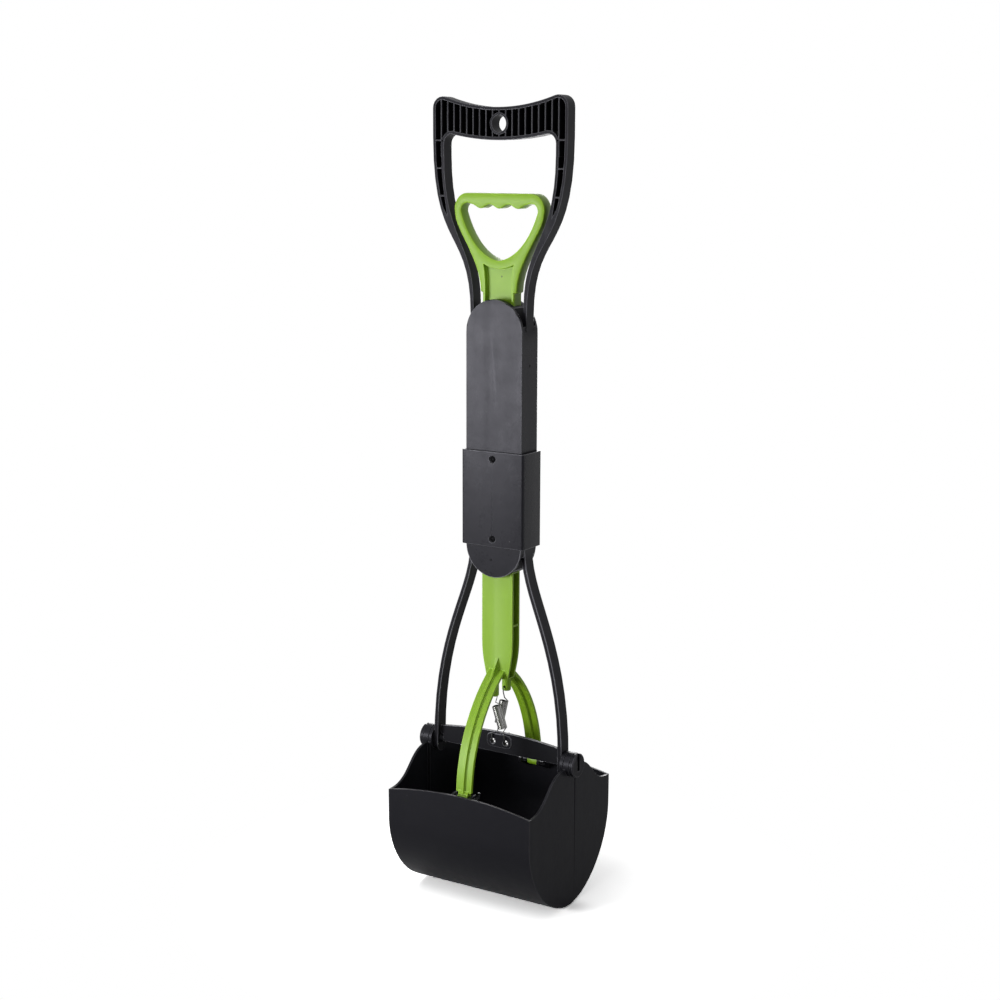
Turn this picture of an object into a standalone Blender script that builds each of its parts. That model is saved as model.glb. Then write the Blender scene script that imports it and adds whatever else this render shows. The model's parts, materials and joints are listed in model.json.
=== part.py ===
"""Long-handled pooper scooper with two clamshell jaws, in metres, +Z up.

The origin is on the ground under the middle of the closed jaws, X runs across the handle
and -Y is the front. The black frame is two mouldings joined inside a screwed collar. A green
pull handle slides up in it, its two arched legs lift the rims of the jaws, and both jaws turn
open on one hinge axis. Two tension springs pull the handle down again and close the jaws.
"""
import math

import bmesh
import bpy
from mathutils import Vector

# Shared fits
SEAT_GAP = 0.0003           # between pieces that rest on each other
RUNNING_GAP = 0.0004        # between pieces that slide or turn on each other
CUT_OVERRUN = 0.002         # how far a cutter passes the face that it opens
FUSE_DEPTH = 0.0004         # how far two shapes of one moulding reach into each other

# Heights that the whole scooper hangs on
OVERALL_HEIGHT = 0.625
FRAME_JOINT_SHARE = 0.51536     # of the whole height, where the upper and lower frame meet inside the collar
HINGE_HEIGHT = 0.117            # the axis on which both jaws turn

# D-handle of the upper frame
HANDLE_WIDTH = 0.118
HANDLE_LENGTH = 0.1499           # from its top down to the shaft's round end
HANDLE_DEPTH = 0.011
HANDLE_CORNER_RADIUS = 0.0085
HANDLE_TOP_DIP = 0.0083         # how far the middle of the crossbar lies under its corners
CROSSBAR_HEIGHT = 0.0241
CROSSBAR_BOTTOM_RISE = 0.0062   # how far the crossbar's underside climbs towards the sides
SIDE_BAR_WIDTH = 0.010
GRIP_CORNER_RADIUS = 0.007
OUTER_SWEEP_START = 0.030       # below the top of the handle
INNER_SWEEP_START = 0.043
POCKET_WALL = 0.0024
POCKET_FLOOR = 0.002
POCKET_END_DROP = 0.088         # below the top of the handle
RIB_THICKNESS = 0.0011
CROSSBAR_RIB_COUNT = 19
CROSSBAR_RIB_PITCH = 0.0057
SIDE_RIB_COUNT = 3
SIDE_RIB_PITCH = 0.0207
HANG_HOLE_RADIUS = 0.0062
HANG_BOSS_RADIUS = 0.0081

# Bezier handle lengths of the arms' sweeps, as shares of the sweep's height
UPPER_SWEEP_OUTER_SHARES = (0.66, 0.50)
UPPER_SWEEP_INNER_SHARES = (0.58, 0.44)
LOWER_SWEEP_SHARES = (0.247, 0.571)

# Hollow shaft, shared by both frame mouldings
SHAFT_WIDTH = 0.050
SHAFT_DEPTH = 0.023
SHAFT_FACE_WALL = 0.0025
SHAFT_SIDE_WALL = 0.0028
GUIDE_WALL = 0.0018
LOWER_SHAFT_LENGTH = 0.0621
UPPER_WALL_STOP = 0.020         # the side walls end this far short of the upper round end
LOWER_WALL_STOP = 0.018
OUTER_SWEEP_END = 0.013         # the upper arms run straight from this far under the shaft's top
INNER_SWEEP_END = 0.005

# Lower arms, hinge eyes and cross plate of the lower frame
LOWER_ARM_THICKNESS = 0.0035
LOWER_ARM_DEPTH = 0.0118
LOWER_ARM_END_DROP = 0.0108     # how far the arms' round ends reach below the hinge axis
CROSS_PLATE_THICKNESS = 0.003
CROSS_PLATE_HEIGHT = 0.0168
CROSS_PLATE_DROP = 0.002        # its lower edge lies this far under the hinge axis
CROSS_PLATE_ARCH = 0.004
SPRING_BOSS_WIDTH = 0.0224
SPRING_BOSS_HEIGHT = 0.0108
SPRING_BOSS_CORNER = 0.004
SPRING_BOSS_THICKNESS = 0.0044
SPRING_HOLE_RADIUS = 0.0024
SPRING_HOLE_REACH = 0.0059      # from the middle to each hole
SPRING_HOLE_RISE = 0.0068       # above the hinge axis

# Collar round the joint of the frame, and its two screws
COLLAR_HEIGHT = 0.0744
COLLAR_SIDE_WALL = 0.0025
COLLAR_FACE_WALL = 0.0017
COLLAR_CORNER_RADIUS = 0.0016
COLLAR_PARTING = 0.0028         # thickness of the front half, from the front face
SCREW_INSET = 0.0060            # from each end of the collar
SCREW_HEAD_RADIUS = 0.0026
SCREW_HEAD_HEIGHT = 0.0007
SCREW_RECESS_DEPTH = 0.0012
SCREW_SHANK_RADIUS = 0.0013
SCREW_LENGTH = 0.0056
SCREW_SLOT_WIDTH = 0.0008
SCREW_SLOT_DEPTH = 0.0004

# Green slider: the bar, its stem and the lap joint between them
BAR_WIDTH = 0.028
BAR_DEPTH = 0.0113
BAR_FACE_WALL = 0.002
BAR_WEB = 0.0024
BAR_FOOT_WIDTH = 0.0196
BAR_FOOT_HEIGHT = 0.1775        # lower edge of the bar's faces
BAR_TAPER_HEIGHT = 0.031
BAR_RIB_THICKNESS = 0.0016
BAR_RIB_PITCH = 0.0428
BAR_RIB_COUNT = 3
BAR_FIRST_RIB_RISE = 0.0435     # above the lower edge
LAP_LENGTH = 0.036
TONGUE_WIDTH = 0.022
LINK_PIN_RADIUS = 0.002
LINK_PIN_PITCH = 0.018

# Pull handle
PULL_TOP_DROP = 0.0713          # below the top of the D-handle
PULL_WIDTH = 0.0784
PULL_CORNER_RADIUS = 0.0105
PULL_SHOULDER_DROP = 0.0127     # from the top edge to the widest place
PULL_SIDE_SHARES = (0.213, 0.41)
PULL_OPENING_HEIGHT = 0.0501    # from the top edge to the opening's lower tip
PULL_OPENING_HALF_WIDTH = 0.0338
PULL_OPENING_SHOULDER_DROP = 0.0137
GRIP_BAR_HEIGHT = 0.0081        # from the top edge to the valleys between the bumps
FINGER_BUMP_HEIGHT = 0.0032
FINGER_BUMP_PITCH = 0.0165
FINGER_BUMP_COUNT = 3
PULL_EDGE_RADIUS = 0.0016
NECK_WIDTH = 0.0316
NECK_STEP_RISE = 0.0049         # above the shaft's round end, where the neck narrows to the stem
PANEL_WIDTH = 0.0232
PANEL_TOP_WIDTH = 0.0270
PANEL_DEPTH = 0.0036
PANEL_TOP_DIP = 0.0032
PANEL_TOP_GAP = 0.0026          # under the finger opening
PULL_OPENING_SIDE_SHARES = ((0.42, 0.055), (0.80, 0.42))

# Arched legs, gussets, feet and spring posts of the yoke
FOOT_INSET = 0.010              # from the jaws' front or back to each foot pin
FOOT_HEIGHT = 0.093
LEG_ARC_RADIUS = 0.110
LEG_WIDTH = 0.014
LEG_THICKNESS = 0.0026
LEG_RIB_WIDTH = 0.0022
LEG_RIB_THICKNESS = 0.0064
LEG_END_RISE = 0.0045           # the full width of a leg ends this far above its pin
FOOT_WIDTH = 0.009
FOOT_EYE_RADIUS = 0.0037
FOOT_PIN_RADIUS = 0.0015
FOOT_PIN_LENGTH = 0.0198
GUSSET_WIDTH = 0.0022
GUSSET_RISE = 0.018             # above the lower edge of the bar
GUSSET_REACH = 0.020
POST_REACH = 0.009
POST_RADIUS = 0.0036
POST_BOTTOM_HEIGHT = 0.164
POST_HOLE_RISE = 0.0034
POST_HOLE_RADIUS = 0.0012

# Travel of the slider, which turns both jaws
SLIDER_TRAVEL = 0.034

# Jaws
JAW_WIDTH = 0.130
JAW_DEPTH = 0.125
JAW_WALL = 0.002
JAW_ROUND_HEIGHT = 0.066        # where the upright wall starts to round under
JAW_ROUND_POWER = 1.85
RIM_CORNER_HEIGHT = 0.0904
RIM_ARCH_RISE = 0.0066
CHEEK_TOP_DROP = 0.002          # the cheeks' tops lie this far under the hinge axis
CHEEK_TOP_REACH = 0.010
CHEEK_SWEEP_SHARES = (0.541, 0.503)
SEAM_OVERLAP = 0.007            # how far the outer cheek passes the middle
SEAM_GAP = 0.0003
OUTER_EAR_THICKNESS = 0.005
INNER_EAR_THICKNESS = 0.0027
EAR_RADIUS = 0.0098
LUG_THICKNESS = 0.0022
LUG_WALL = 0.002
LUG_TOP_DROP = 0.0008           # under the middle of the rim

# Hinge pins
HINGE_PIN_RADIUS = 0.003
HINGE_HEAD_RADIUS = 0.0096
HINGE_HEAD_THICKNESS = 0.0036
HINGE_SLOT_WIDTH = 0.0034
HINGE_SLOT_DEPTH = 0.0026
HINGE_SLOT_DROP = 0.0045        # how far the slot runs past the pin's middle
HINGE_BARB_RADIUS = 0.0041
HINGE_BARB_LENGTH = 0.0020

# Springs
WIRE_RADIUS = 0.0004
COIL_RADIUS = 0.0033            # to the middle of the wire
COIL_TURNS = 14
POINTS_PER_TURN = 9
COIL_LENGTH = 0.0186
HOOK_BEND_RADIUS = 0.0014
HOOK_REACH = 0.0018             # straight wire between the coil's end and a bend
LOWER_TAIL = 0.0060
UPPER_TAIL = 0.0022
COIL_TOP_DROP = 0.0118          # below the post's hole
COIL_TOP_REACH = 0.0072
FRONT_COIL_LEAN = (-0.0008, 0.0012)     # sideways from the straight line, top and bottom
REAR_COIL_LEAN = (0.0003, -0.0003)

# Steps along curved outlines
CURVE_STEPS = 14
ARC_STEPS = 6
ROUND_SIDES = 24

# Values that follow from the sizes above
FRAME_JOINT_HEIGHT = OVERALL_HEIGHT * FRAME_JOINT_SHARE
SHAFT_TOP = OVERALL_HEIGHT - HANDLE_LENGTH
UPPER_SHAFT_LENGTH = SHAFT_TOP - FRAME_JOINT_HEIGHT
SHAFT_BOTTOM = FRAME_JOINT_HEIGHT - LOWER_SHAFT_LENGTH
PULL_TOP_HEIGHT = OVERALL_HEIGHT - PULL_TOP_DROP
PULL_OPENING_BOTTOM = PULL_TOP_HEIGHT - PULL_OPENING_HEIGHT
NECK_STEP_HEIGHT = SHAFT_TOP + NECK_STEP_RISE
PANEL_TOP_HEIGHT = PULL_OPENING_BOTTOM - PANEL_TOP_GAP
SLIDER_SLOT_WIDTH = BAR_WIDTH + 2 * RUNNING_GAP
SLIDER_SLOT_DEPTH = BAR_DEPTH + 2 * RUNNING_GAP
CHEEK_OUTSIDE = JAW_WIDTH / 2
CHEEK_INSIDE = CHEEK_OUTSIDE - JAW_WALL
INNER_CHEEK_OUTSIDE = CHEEK_INSIDE - SEAM_GAP
INNER_CHEEK_INSIDE = INNER_CHEEK_OUTSIDE - JAW_WALL
INNER_EAR_INSIDE = INNER_CHEEK_OUTSIDE - INNER_EAR_THICKNESS
ARM_OUTSIDE = INNER_EAR_INSIDE - RUNNING_GAP
ARM_INSIDE = ARM_OUTSIDE - LOWER_ARM_THICKNESS
OUTER_EAR_OUTSIDE = CHEEK_INSIDE + OUTER_EAR_THICKNESS
EYE_HOLE_RADIUS = HINGE_PIN_RADIUS + SEAT_GAP
JAW_HALF_DEPTH = JAW_DEPTH / 2
FOOT_REACH = JAW_HALF_DEPTH - FOOT_INSET
PIN_DROP = HINGE_HEIGHT - FOOT_HEIGHT
COLLAR_WIDTH = SHAFT_WIDTH + 2 * (SEAT_GAP + COLLAR_SIDE_WALL)
COLLAR_DEPTH = SHAFT_DEPTH + 2 * (SEAT_GAP + COLLAR_FACE_WALL)
LAP_BOTTOM = FRAME_JOINT_HEIGHT - LAP_LENGTH / 2
LAP_TOP = FRAME_JOINT_HEIGHT + LAP_LENGTH / 2
SPRING_HOLE_HEIGHT = HINGE_HEIGHT + SPRING_HOLE_RISE
POST_HOLE_HEIGHT = POST_BOTTOM_HEIGHT + POST_HOLE_RISE

BLACK = (0.020, 0.021, 0.024)
GREEN = (0.290, 0.560, 0.055)
STEEL = (0.62, 0.62, 0.63)


def clear_scene():
    for item in list(bpy.data.objects):
        bpy.data.objects.remove(item)


def material(name, colour, roughness, metallic):
    surface = bpy.data.materials.new(name)
    surface.use_nodes = True
    shader = surface.node_tree.nodes["Principled BSDF"]
    shader.inputs["Base Color"].default_value = (*colour, 1)
    shader.inputs["Roughness"].default_value = roughness
    shader.inputs["Metallic"].default_value = metallic
    return surface


# Outlines: lists of points in a plane

def bezier(start, first, second, end, steps=CURVE_STEPS):
    """Points along a cubic curve, both ends included."""
    points = []
    for step in range(steps + 1):
        t = step / steps
        u = 1 - t
        weights = (u * u * u, 3 * u * u * t, 3 * u * t * t, t * t * t)
        corners = (start, first, second, end)
        points.append(tuple(sum(w * c[k] for w, c in zip(weights, corners)) for k in (0, 1)))
    return points


def arc(centre, radius, start_angle, end_angle, steps=ARC_STEPS):
    """Points along a circle's arc, both ends included, angles in radians."""
    points = []
    for step in range(steps + 1):
        angle = start_angle + (end_angle - start_angle) * step / steps
        points.append((centre[0] + radius * math.cos(angle), centre[1] + radius * math.sin(angle)))
    return points


def circle(centre, radius, sides=ROUND_SIDES):
    return arc(centre, radius, 0, math.tau, sides)[:-1]


def rectangle(low, high):
    return [(low[0], low[1]), (high[0], low[1]), (high[0], high[1]), (low[0], high[1])]


def mirrored(points):
    """The same points on the other side of the middle, in reverse order."""
    return [(-a, b) for a, b in reversed(points)]


def round_rectangle(centre, width, height, radius):
    points = []
    for turn, (side, level) in enumerate(((1, 1), (-1, 1), (-1, -1), (1, -1))):
        corner = (centre[0] + side * (width / 2 - radius), centre[1] + level * (height / 2 - radius))
        points += arc(corner, radius, turn * math.pi / 2, (turn + 1) * math.pi / 2)
    return points


def shifted(points, distance):
    """An open line of points moved sideways by a distance, to the left of its direction."""
    moved = []
    for index, point in enumerate(points):
        before = points[max(index - 1, 0)]
        after = points[min(index + 1, len(points) - 1)]
        run = Vector((after[0] - before[0], after[1] - before[1])).normalized()
        moved.append((point[0] - run.y * distance, point[1] + run.x * distance))
    return moved


def sagging_arc(half_chord, sag, base, steps=CURVE_STEPS):
    """A shallow arc about the middle: base at its lowest point, base + sag at its ends."""
    radius = (half_chord * half_chord + sag * sag) / (2 * sag)
    points = []
    for step in range(steps + 1):
        a = half_chord * (2 * step / steps - 1)
        points.append((a, base + radius - math.sqrt(radius * radius - a * a)))
    return points


# Solids

def add_object(name, mesh, surface=None):
    thing = bpy.data.objects.new(name, mesh)
    bpy.context.scene.collection.objects.link(thing)
    if surface:
        mesh.materials.append(surface)
    return thing


def from_bmesh(name, work):
    bmesh.ops.recalc_face_normals(work, faces=work.faces)
    mesh = bpy.data.meshes.new(name)
    work.to_mesh(mesh)
    work.free()
    return add_object(name, mesh)


def place(point, axis, level):
    a, b = point
    return {"X": (level, a, b), "Y": (a, level, b), "Z": (a, b, level)}[axis]


def prism(outline, axis, low, high, name="prism"):
    """A straight solid along an axis; the outline's values lie on the other two axes in order."""
    work = bmesh.new()
    ends = [[work.verts.new(place(point, axis, level)) for point in outline] for level in (low, high)]
    work.faces.new(ends[0])
    work.faces.new(ends[1])
    for index in range(len(outline)):
        after = (index + 1) % len(outline)
        work.faces.new((ends[0][index], ends[0][after], ends[1][after], ends[1][index]))
    return from_bmesh(name, work)


def block(low, high, name="block"):
    return prism(rectangle(low[:2], high[:2]), "Z", low[2], high[2], name)


def turned(stations, axis, centre, name, sides=ROUND_SIDES):
    """A round solid: stations are (place along the axis, radius) from one end to the other."""
    work = bmesh.new()
    rings = []
    for level, radius in stations:
        rings.append([work.verts.new(place(point, axis, level)) for point in circle(centre, radius, sides)])
    work.faces.new(rings[0])
    work.faces.new(rings[-1])
    for near, far in zip(rings, rings[1:]):
        for index in range(sides):
            after = (index + 1) % sides
            work.faces.new((near[index], near[after], far[after], far[index]))
    return from_bmesh(name, work)


def rod(axis, centre, radius, low, high, sides=ROUND_SIDES):
    return turned([(low, radius), (high, radius)], axis, centre, "rod", sides)


def combine(body, tools, operation):
    """Runs one Boolean with each tool, keeps the result as the body's own mesh."""
    for tool in tools:
        step = body.modifiers.new(operation, "BOOLEAN")
        step.operation = operation
        step.solver = "EXACT"
        step.object = tool
    bpy.context.view_layer.update()
    graph = bpy.context.evaluated_depsgraph_get()
    result = bpy.data.meshes.new_from_object(body.evaluated_get(graph))
    body.modifiers.clear()
    body.data = result
    for tool in tools:
        bpy.data.objects.remove(tool)
    return body


def joined(body, *tools):
    return combine(body, tools, "UNION")


def cut(body, *tools):
    return combine(body, tools, "DIFFERENCE")


def common(body, *tools):
    return combine(body, tools, "INTERSECT")


def rounded_edges(body, radius, segments=2):
    """Bevels every sharp edge and keeps the result as the body's own mesh."""
    step = body.modifiers.new("edges", "BEVEL")
    step.width = radius
    step.segments = segments
    step.limit_method = "ANGLE"
    step.angle_limit = math.radians(50)
    return combine(body, (), "UNION")


def finish(body, name, surface):
    """Names a piece, gives it its material and shades its round faces smooth."""
    body.name = name
    body.data.name = name
    body.data.materials.clear()
    body.data.materials.append(surface)
    for face in body.data.polygons:
        face.material_index = 0
    body.data.shade_smooth()
    body.data.set_sharp_from_angle(angle=math.radians(35))
    return body


def move_origin(body, point):
    """Puts an object's origin at a point while its mesh stays where it is."""
    offset = Vector(point)
    for vertex in body.data.vertices:
        vertex.co -= offset
    body.location = offset


# Upper frame: D-handle, arms and upper half of the shaft

def upper_sweep(top_half_width, top, bottom_half_width, bottom, shares):
    """One side of the arms: from under the handle's corner down to the shaft."""
    height = top - bottom
    return bezier((top_half_width, top), (top_half_width, top - shares[0] * height),
                  (bottom_half_width, bottom + shares[1] * height), (bottom_half_width, bottom))


def handle_curves(inset=0):
    """Right-hand outer and inner line of the D-handle, moved into the material by the inset."""
    half_width = HANDLE_WIDTH / 2
    corner = (half_width - HANDLE_CORNER_RADIUS, OVERALL_HEIGHT - HANDLE_CORNER_RADIUS)
    spread = corner[0] * corner[0] / HANDLE_TOP_DIP + HANDLE_TOP_DIP
    top_radius = spread / 2 - HANDLE_CORNER_RADIUS
    middle_top = OVERALL_HEIGHT - HANDLE_TOP_DIP
    hollow_centre = middle_top + top_radius
    lean = math.asin(corner[0] / (top_radius + HANDLE_CORNER_RADIUS))
    outer = []
    for step in range(CURVE_STEPS + 1):
        angle = lean * step / CURVE_STEPS
        reach = top_radius + inset
        outer.append((reach * math.sin(angle), hollow_centre - reach * math.cos(angle)))
    outer += arc(corner, HANDLE_CORNER_RADIUS - inset, math.pi / 2 + lean, 0)[1:]
    sweep = upper_sweep(half_width, OVERALL_HEIGHT - OUTER_SWEEP_START,
                        SHAFT_WIDTH / 2, SHAFT_TOP - OUTER_SWEEP_END, UPPER_SWEEP_OUTER_SHARES)
    outer += shifted(sweep, -inset)

    inner_half = half_width - SIDE_BAR_WIDTH
    inner_middle = middle_top - CROSSBAR_HEIGHT
    under_corner = inner_half - GRIP_CORNER_RADIUS
    under = sagging_arc(under_corner, CROSSBAR_BOTTOM_RISE * (under_corner / inner_half) ** 2, inner_middle,
                        2 * CURVE_STEPS)[CURVE_STEPS:]
    inner = [(0, inner_middle + inset)] + shifted(under, inset)[1:]
    corner_centre = (under_corner, under[-1][1] - GRIP_CORNER_RADIUS)
    inner += arc(corner_centre, GRIP_CORNER_RADIUS + inset, math.pi / 2, 0)[1:]
    sweep = upper_sweep(inner_half, OVERALL_HEIGHT - INNER_SWEEP_START, SHAFT_WIDTH / 2 - SHAFT_SIDE_WALL,
                        SHAFT_TOP - INNER_SWEEP_END, UPPER_SWEEP_INNER_SHARES)
    inner += shifted(sweep, inset)
    return outer, inner


def handle_ring():
    """Solid D-handle with its arms, which end inside the straight part of the shaft's side walls."""
    outer, inner = handle_curves()
    root = SHAFT_TOP - max(UPPER_WALL_STOP, SHAFT_WIDTH / 2) - CUT_OVERRUN
    side = outer + [(outer[-1][0], root)] + [(inner[-1][0], root)] + inner[::-1]
    outline = side + [(-a, b) for a, b in reversed(side)]
    return prism(without_repeats(outline), "Y", -HANDLE_DEPTH / 2, HANDLE_DEPTH / 2)


def without_repeats(outline, limit=1e-6):
    """Drops points that lie on the point before them."""
    kept = []
    for point in outline:
        if not kept or math.dist(point, kept[-1]) > limit:
            kept.append(point)
    if math.dist(kept[0], kept[-1]) <= limit:
        kept.pop()
    return kept


def across_at(line, level):
    """How far out a falling line is at a height."""
    for above, below in zip(line, line[1:]):
        if above[1] >= level >= below[1] and above[1] > below[1]:
            share = (above[1] - level) / (above[1] - below[1])
            return above[0] + (below[0] - above[0]) * share
    return line[-1][0]


def pocket_tip(outer, inner):
    """Lower point of the pockets, where they end or where their sides meet before that."""
    level = OVERALL_HEIGHT - POCKET_END_DROP
    while across_at(outer, level) <= across_at(inner, level):
        level += POCKET_WALL
    return (across_at(outer, level) + across_at(inner, level)) / 2, level


def handle_pockets():
    """Cutter for the open cells: one band round the handle, less its ribs and the boss."""
    outer, inner = handle_curves(POCKET_WALL)
    tip = pocket_tip(outer, inner)
    outer = [point for point in outer if point[1] > tip[1] + POCKET_WALL]
    inner = [point for point in inner if point[1] > tip[1] + POCKET_WALL]
    side = outer + [tip] + inner[::-1]
    outline = without_repeats(side + [(-a, b) for a, b in reversed(side)])
    front = -HANDLE_DEPTH / 2 - CUT_OVERRUN
    floor = HANDLE_DEPTH / 2 - POCKET_FLOOR
    band = prism(outline, "Y", front, floor)
    return cut(band, *handle_ribs(front - CUT_OVERRUN, floor + CUT_OVERRUN))


def handle_ribs(low, high):
    ribs = []
    hole_height = hang_hole_height()
    rib_bottom = hole_height - CROSSBAR_HEIGHT
    half_count = CROSSBAR_RIB_COUNT // 2
    for index in range(-half_count, half_count + 1):
        middle = index * CROSSBAR_RIB_PITCH
        ribs.append(block((middle - RIB_THICKNESS / 2, low, rib_bottom),
                          (middle + RIB_THICKNESS / 2, high, OVERALL_HEIGHT)))
    near = half_count * CROSSBAR_RIB_PITCH
    first = OVERALL_HEIGHT - HANDLE_TOP_DIP - CROSSBAR_HEIGHT
    for index in range(SIDE_RIB_COUNT):
        level = first - index * SIDE_RIB_PITCH
        start = near if index == 0 else near - SIDE_BAR_WIDTH
        for side in (-1, 1):
            across = sorted((side * start, side * HANDLE_WIDTH / 2))
            ribs.append(block((across[0], low, level - RIB_THICKNESS / 2),
                              (across[1], high, level + RIB_THICKNESS / 2)))
    ribs.append(rod("Y", (0, hole_height), HANG_BOSS_RADIUS, low, high))
    return ribs


def hang_hole_height():
    return OVERALL_HEIGHT - HANDLE_TOP_DIP - CROSSBAR_HEIGHT / 2


def shaft_half(direction, length, wall_stop):
    """Half of the hollow shaft: direction is 1 above the joint and -1 below it."""
    half = SHAFT_WIDTH / 2
    joint = FRAME_JOINT_HEIGHT + direction * SEAT_GAP / 2
    end = FRAME_JOINT_HEIGHT + direction * length
    round_centre = (0, end - direction * half)
    outline = [(half, joint)]
    outline += arc(round_centre, half, 0, direction * math.pi, 2 * CURVE_STEPS)
    outline += [(-half, joint)]
    body = prism(outline, "Y", -SHAFT_DEPTH / 2, SHAFT_DEPTH / 2)
    low, high = sorted((joint - direction * CUT_OVERRUN, end + direction * CUT_OVERRUN))
    inside = SHAFT_DEPTH / 2 - SHAFT_FACE_WALL
    cell = (SLIDER_SLOT_WIDTH / 2 + GUIDE_WALL, half - SHAFT_SIDE_WALL)
    tools = [block((-SLIDER_SLOT_WIDTH / 2, -SLIDER_SLOT_DEPTH / 2, low),
                   (SLIDER_SLOT_WIDTH / 2, SLIDER_SLOT_DEPTH / 2, high))]
    for side in (-1, 1):
        across = sorted((side * cell[0], side * cell[1]))
        tools.append(block((across[0], -inside, low), (across[1], inside, high)))
        across = sorted((side * (cell[1] - FUSE_DEPTH), side * (half + CUT_OVERRUN)))
        window = sorted((end - direction * wall_stop, end + direction * CUT_OVERRUN))
        tools.append(block((across[0], -inside, window[0]), (across[1], inside, window[1])))
    return cut(body, *tools)


def screw_holes(direction):
    """Cutter for the hole of the screw that holds one frame moulding to the collar."""
    level = FRAME_JOINT_HEIGHT + direction * (COLLAR_HEIGHT / 2 - SCREW_INSET)
    return rod("Y", (0, level), SCREW_SHANK_RADIUS + SEAT_GAP, -SHAFT_DEPTH / 2 - CUT_OVERRUN, 0, 16)


def upper_frame(surface):
    ring = cut(handle_ring(), handle_pockets())
    body = joined(shaft_half(1, UPPER_SHAFT_LENGTH, UPPER_WALL_STOP), ring)
    reach = HANDLE_DEPTH / 2 + CUT_OVERRUN
    hang_hole = rod("Y", (0, hang_hole_height()), HANG_HOLE_RADIUS, -reach, reach)
    return finish(cut(body, hang_hole, screw_holes(1)), "upper_frame", surface)


# Lower frame: lower half of the shaft, arms, hinge eyes and cross plate

def lower_arms():
    top = SHAFT_BOTTOM + SHAFT_WIDTH / 2
    bottom = HINGE_HEIGHT
    height = top - bottom
    half = SHAFT_WIDTH / 2
    half_depth = LOWER_ARM_DEPTH / 2
    end_height = HINGE_HEIGHT - LOWER_ARM_END_DROP + half_depth
    line = bezier((half, top), (half, top - LOWER_SWEEP_SHARES[0] * height),
                  (ARM_OUTSIDE, bottom + LOWER_SWEEP_SHARES[1] * height), (ARM_OUTSIDE, bottom))
    line.append((ARM_OUTSIDE, end_height))
    inner = shifted(line, -LOWER_ARM_THICKNESS)
    outline = line + inner[::-1]
    arms = []
    for side in (-1, 1):
        points = [(side * a, b) for a, b in outline]
        arms.append(prism(points, "Y", -half_depth, half_depth))
        across = sorted((side * ARM_INSIDE, side * ARM_OUTSIDE))
        arms.append(rod("X", (0, end_height), half_depth, *across))
    return arms


def cross_plate():
    half = ARM_INSIDE + FUSE_DEPTH
    bottom = HINGE_HEIGHT - CROSS_PLATE_DROP
    top = bottom + CROSS_PLATE_HEIGHT
    arch = [(a, 2 * top - b) for a, b in sagging_arc(half, CROSS_PLATE_ARCH, top)]
    outline = [(-half, bottom)] + arch + [(half, bottom)]
    plate = prism(outline, "Y", -CROSS_PLATE_THICKNESS / 2, CROSS_PLATE_THICKNESS / 2)
    boss = prism(round_rectangle((0, SPRING_HOLE_HEIGHT + SPRING_BOSS_CORNER / 4),
                                 SPRING_BOSS_WIDTH, SPRING_BOSS_HEIGHT, SPRING_BOSS_CORNER),
                 "Y", -SPRING_BOSS_THICKNESS / 2, SPRING_BOSS_THICKNESS / 2)
    return [plate, boss]


def lower_frame(surface):
    body = joined(shaft_half(-1, LOWER_SHAFT_LENGTH, LOWER_WALL_STOP), *lower_arms(), *cross_plate())
    tools = [screw_holes(-1)]
    for side in (-1, 1):
        across = sorted((side * (ARM_INSIDE - CUT_OVERRUN), side * (ARM_OUTSIDE + CUT_OVERRUN)))
        tools.append(rod("X", (0, HINGE_HEIGHT), EYE_HOLE_RADIUS, *across))
        barb_end = ARM_INSIDE - HINGE_BARB_LENGTH - 2 * SEAT_GAP
        across = sorted((side * barb_end, side * ARM_INSIDE))
        tools.append(rod("X", (0, HINGE_HEIGHT), HINGE_BARB_RADIUS + SEAT_GAP, *across))
        tools.append(rod("Y", (side * SPRING_HOLE_REACH, SPRING_HOLE_HEIGHT), SPRING_HOLE_RADIUS,
                         -SPRING_BOSS_THICKNESS, SPRING_BOSS_THICKNESS, 16))
    return finish(cut(body, *tools), "lower_frame", surface)


# Collar and its screws

def collar_halves(surface):
    low = FRAME_JOINT_HEIGHT - COLLAR_HEIGHT / 2
    high = FRAME_JOINT_HEIGHT + COLLAR_HEIGHT / 2
    parting = -COLLAR_DEPTH / 2 + COLLAR_PARTING
    halves = []
    for name in ("collar_front", "collar_rear"):
        body = prism(round_rectangle((0, 0), COLLAR_WIDTH, COLLAR_DEPTH, COLLAR_CORNER_RADIUS), "Z", low, high)
        inside = (SHAFT_WIDTH / 2 + SEAT_GAP, SHAFT_DEPTH / 2 + SEAT_GAP)
        tools = [block((-inside[0], -inside[1], low - CUT_OVERRUN), (inside[0], inside[1], high + CUT_OVERRUN))]
        edge = COLLAR_WIDTH / 2 + CUT_OVERRUN
        depth = COLLAR_DEPTH / 2 + CUT_OVERRUN
        if name == "collar_front":
            span = (parting - SEAT_GAP / 2, depth)
        else:
            span = (-depth, parting + SEAT_GAP / 2)
        tools.append(block((-edge, span[0], low - CUT_OVERRUN), (edge, span[1], high + CUT_OVERRUN)))
        if name == "collar_front":
            for direction in (-1, 1):
                level = FRAME_JOINT_HEIGHT + direction * (COLLAR_HEIGHT / 2 - SCREW_INSET)
                recess_floor = -COLLAR_DEPTH / 2 + SCREW_RECESS_DEPTH
                tools.append(rod("Y", (0, level), SCREW_HEAD_RADIUS + SEAT_GAP, -depth, recess_floor, 20))
                tools.append(rod("Y", (0, level), SCREW_SHANK_RADIUS + SEAT_GAP, -depth, 0, 16))
        halves.append(finish(cut(body, *tools), name, surface))
    return halves


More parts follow.
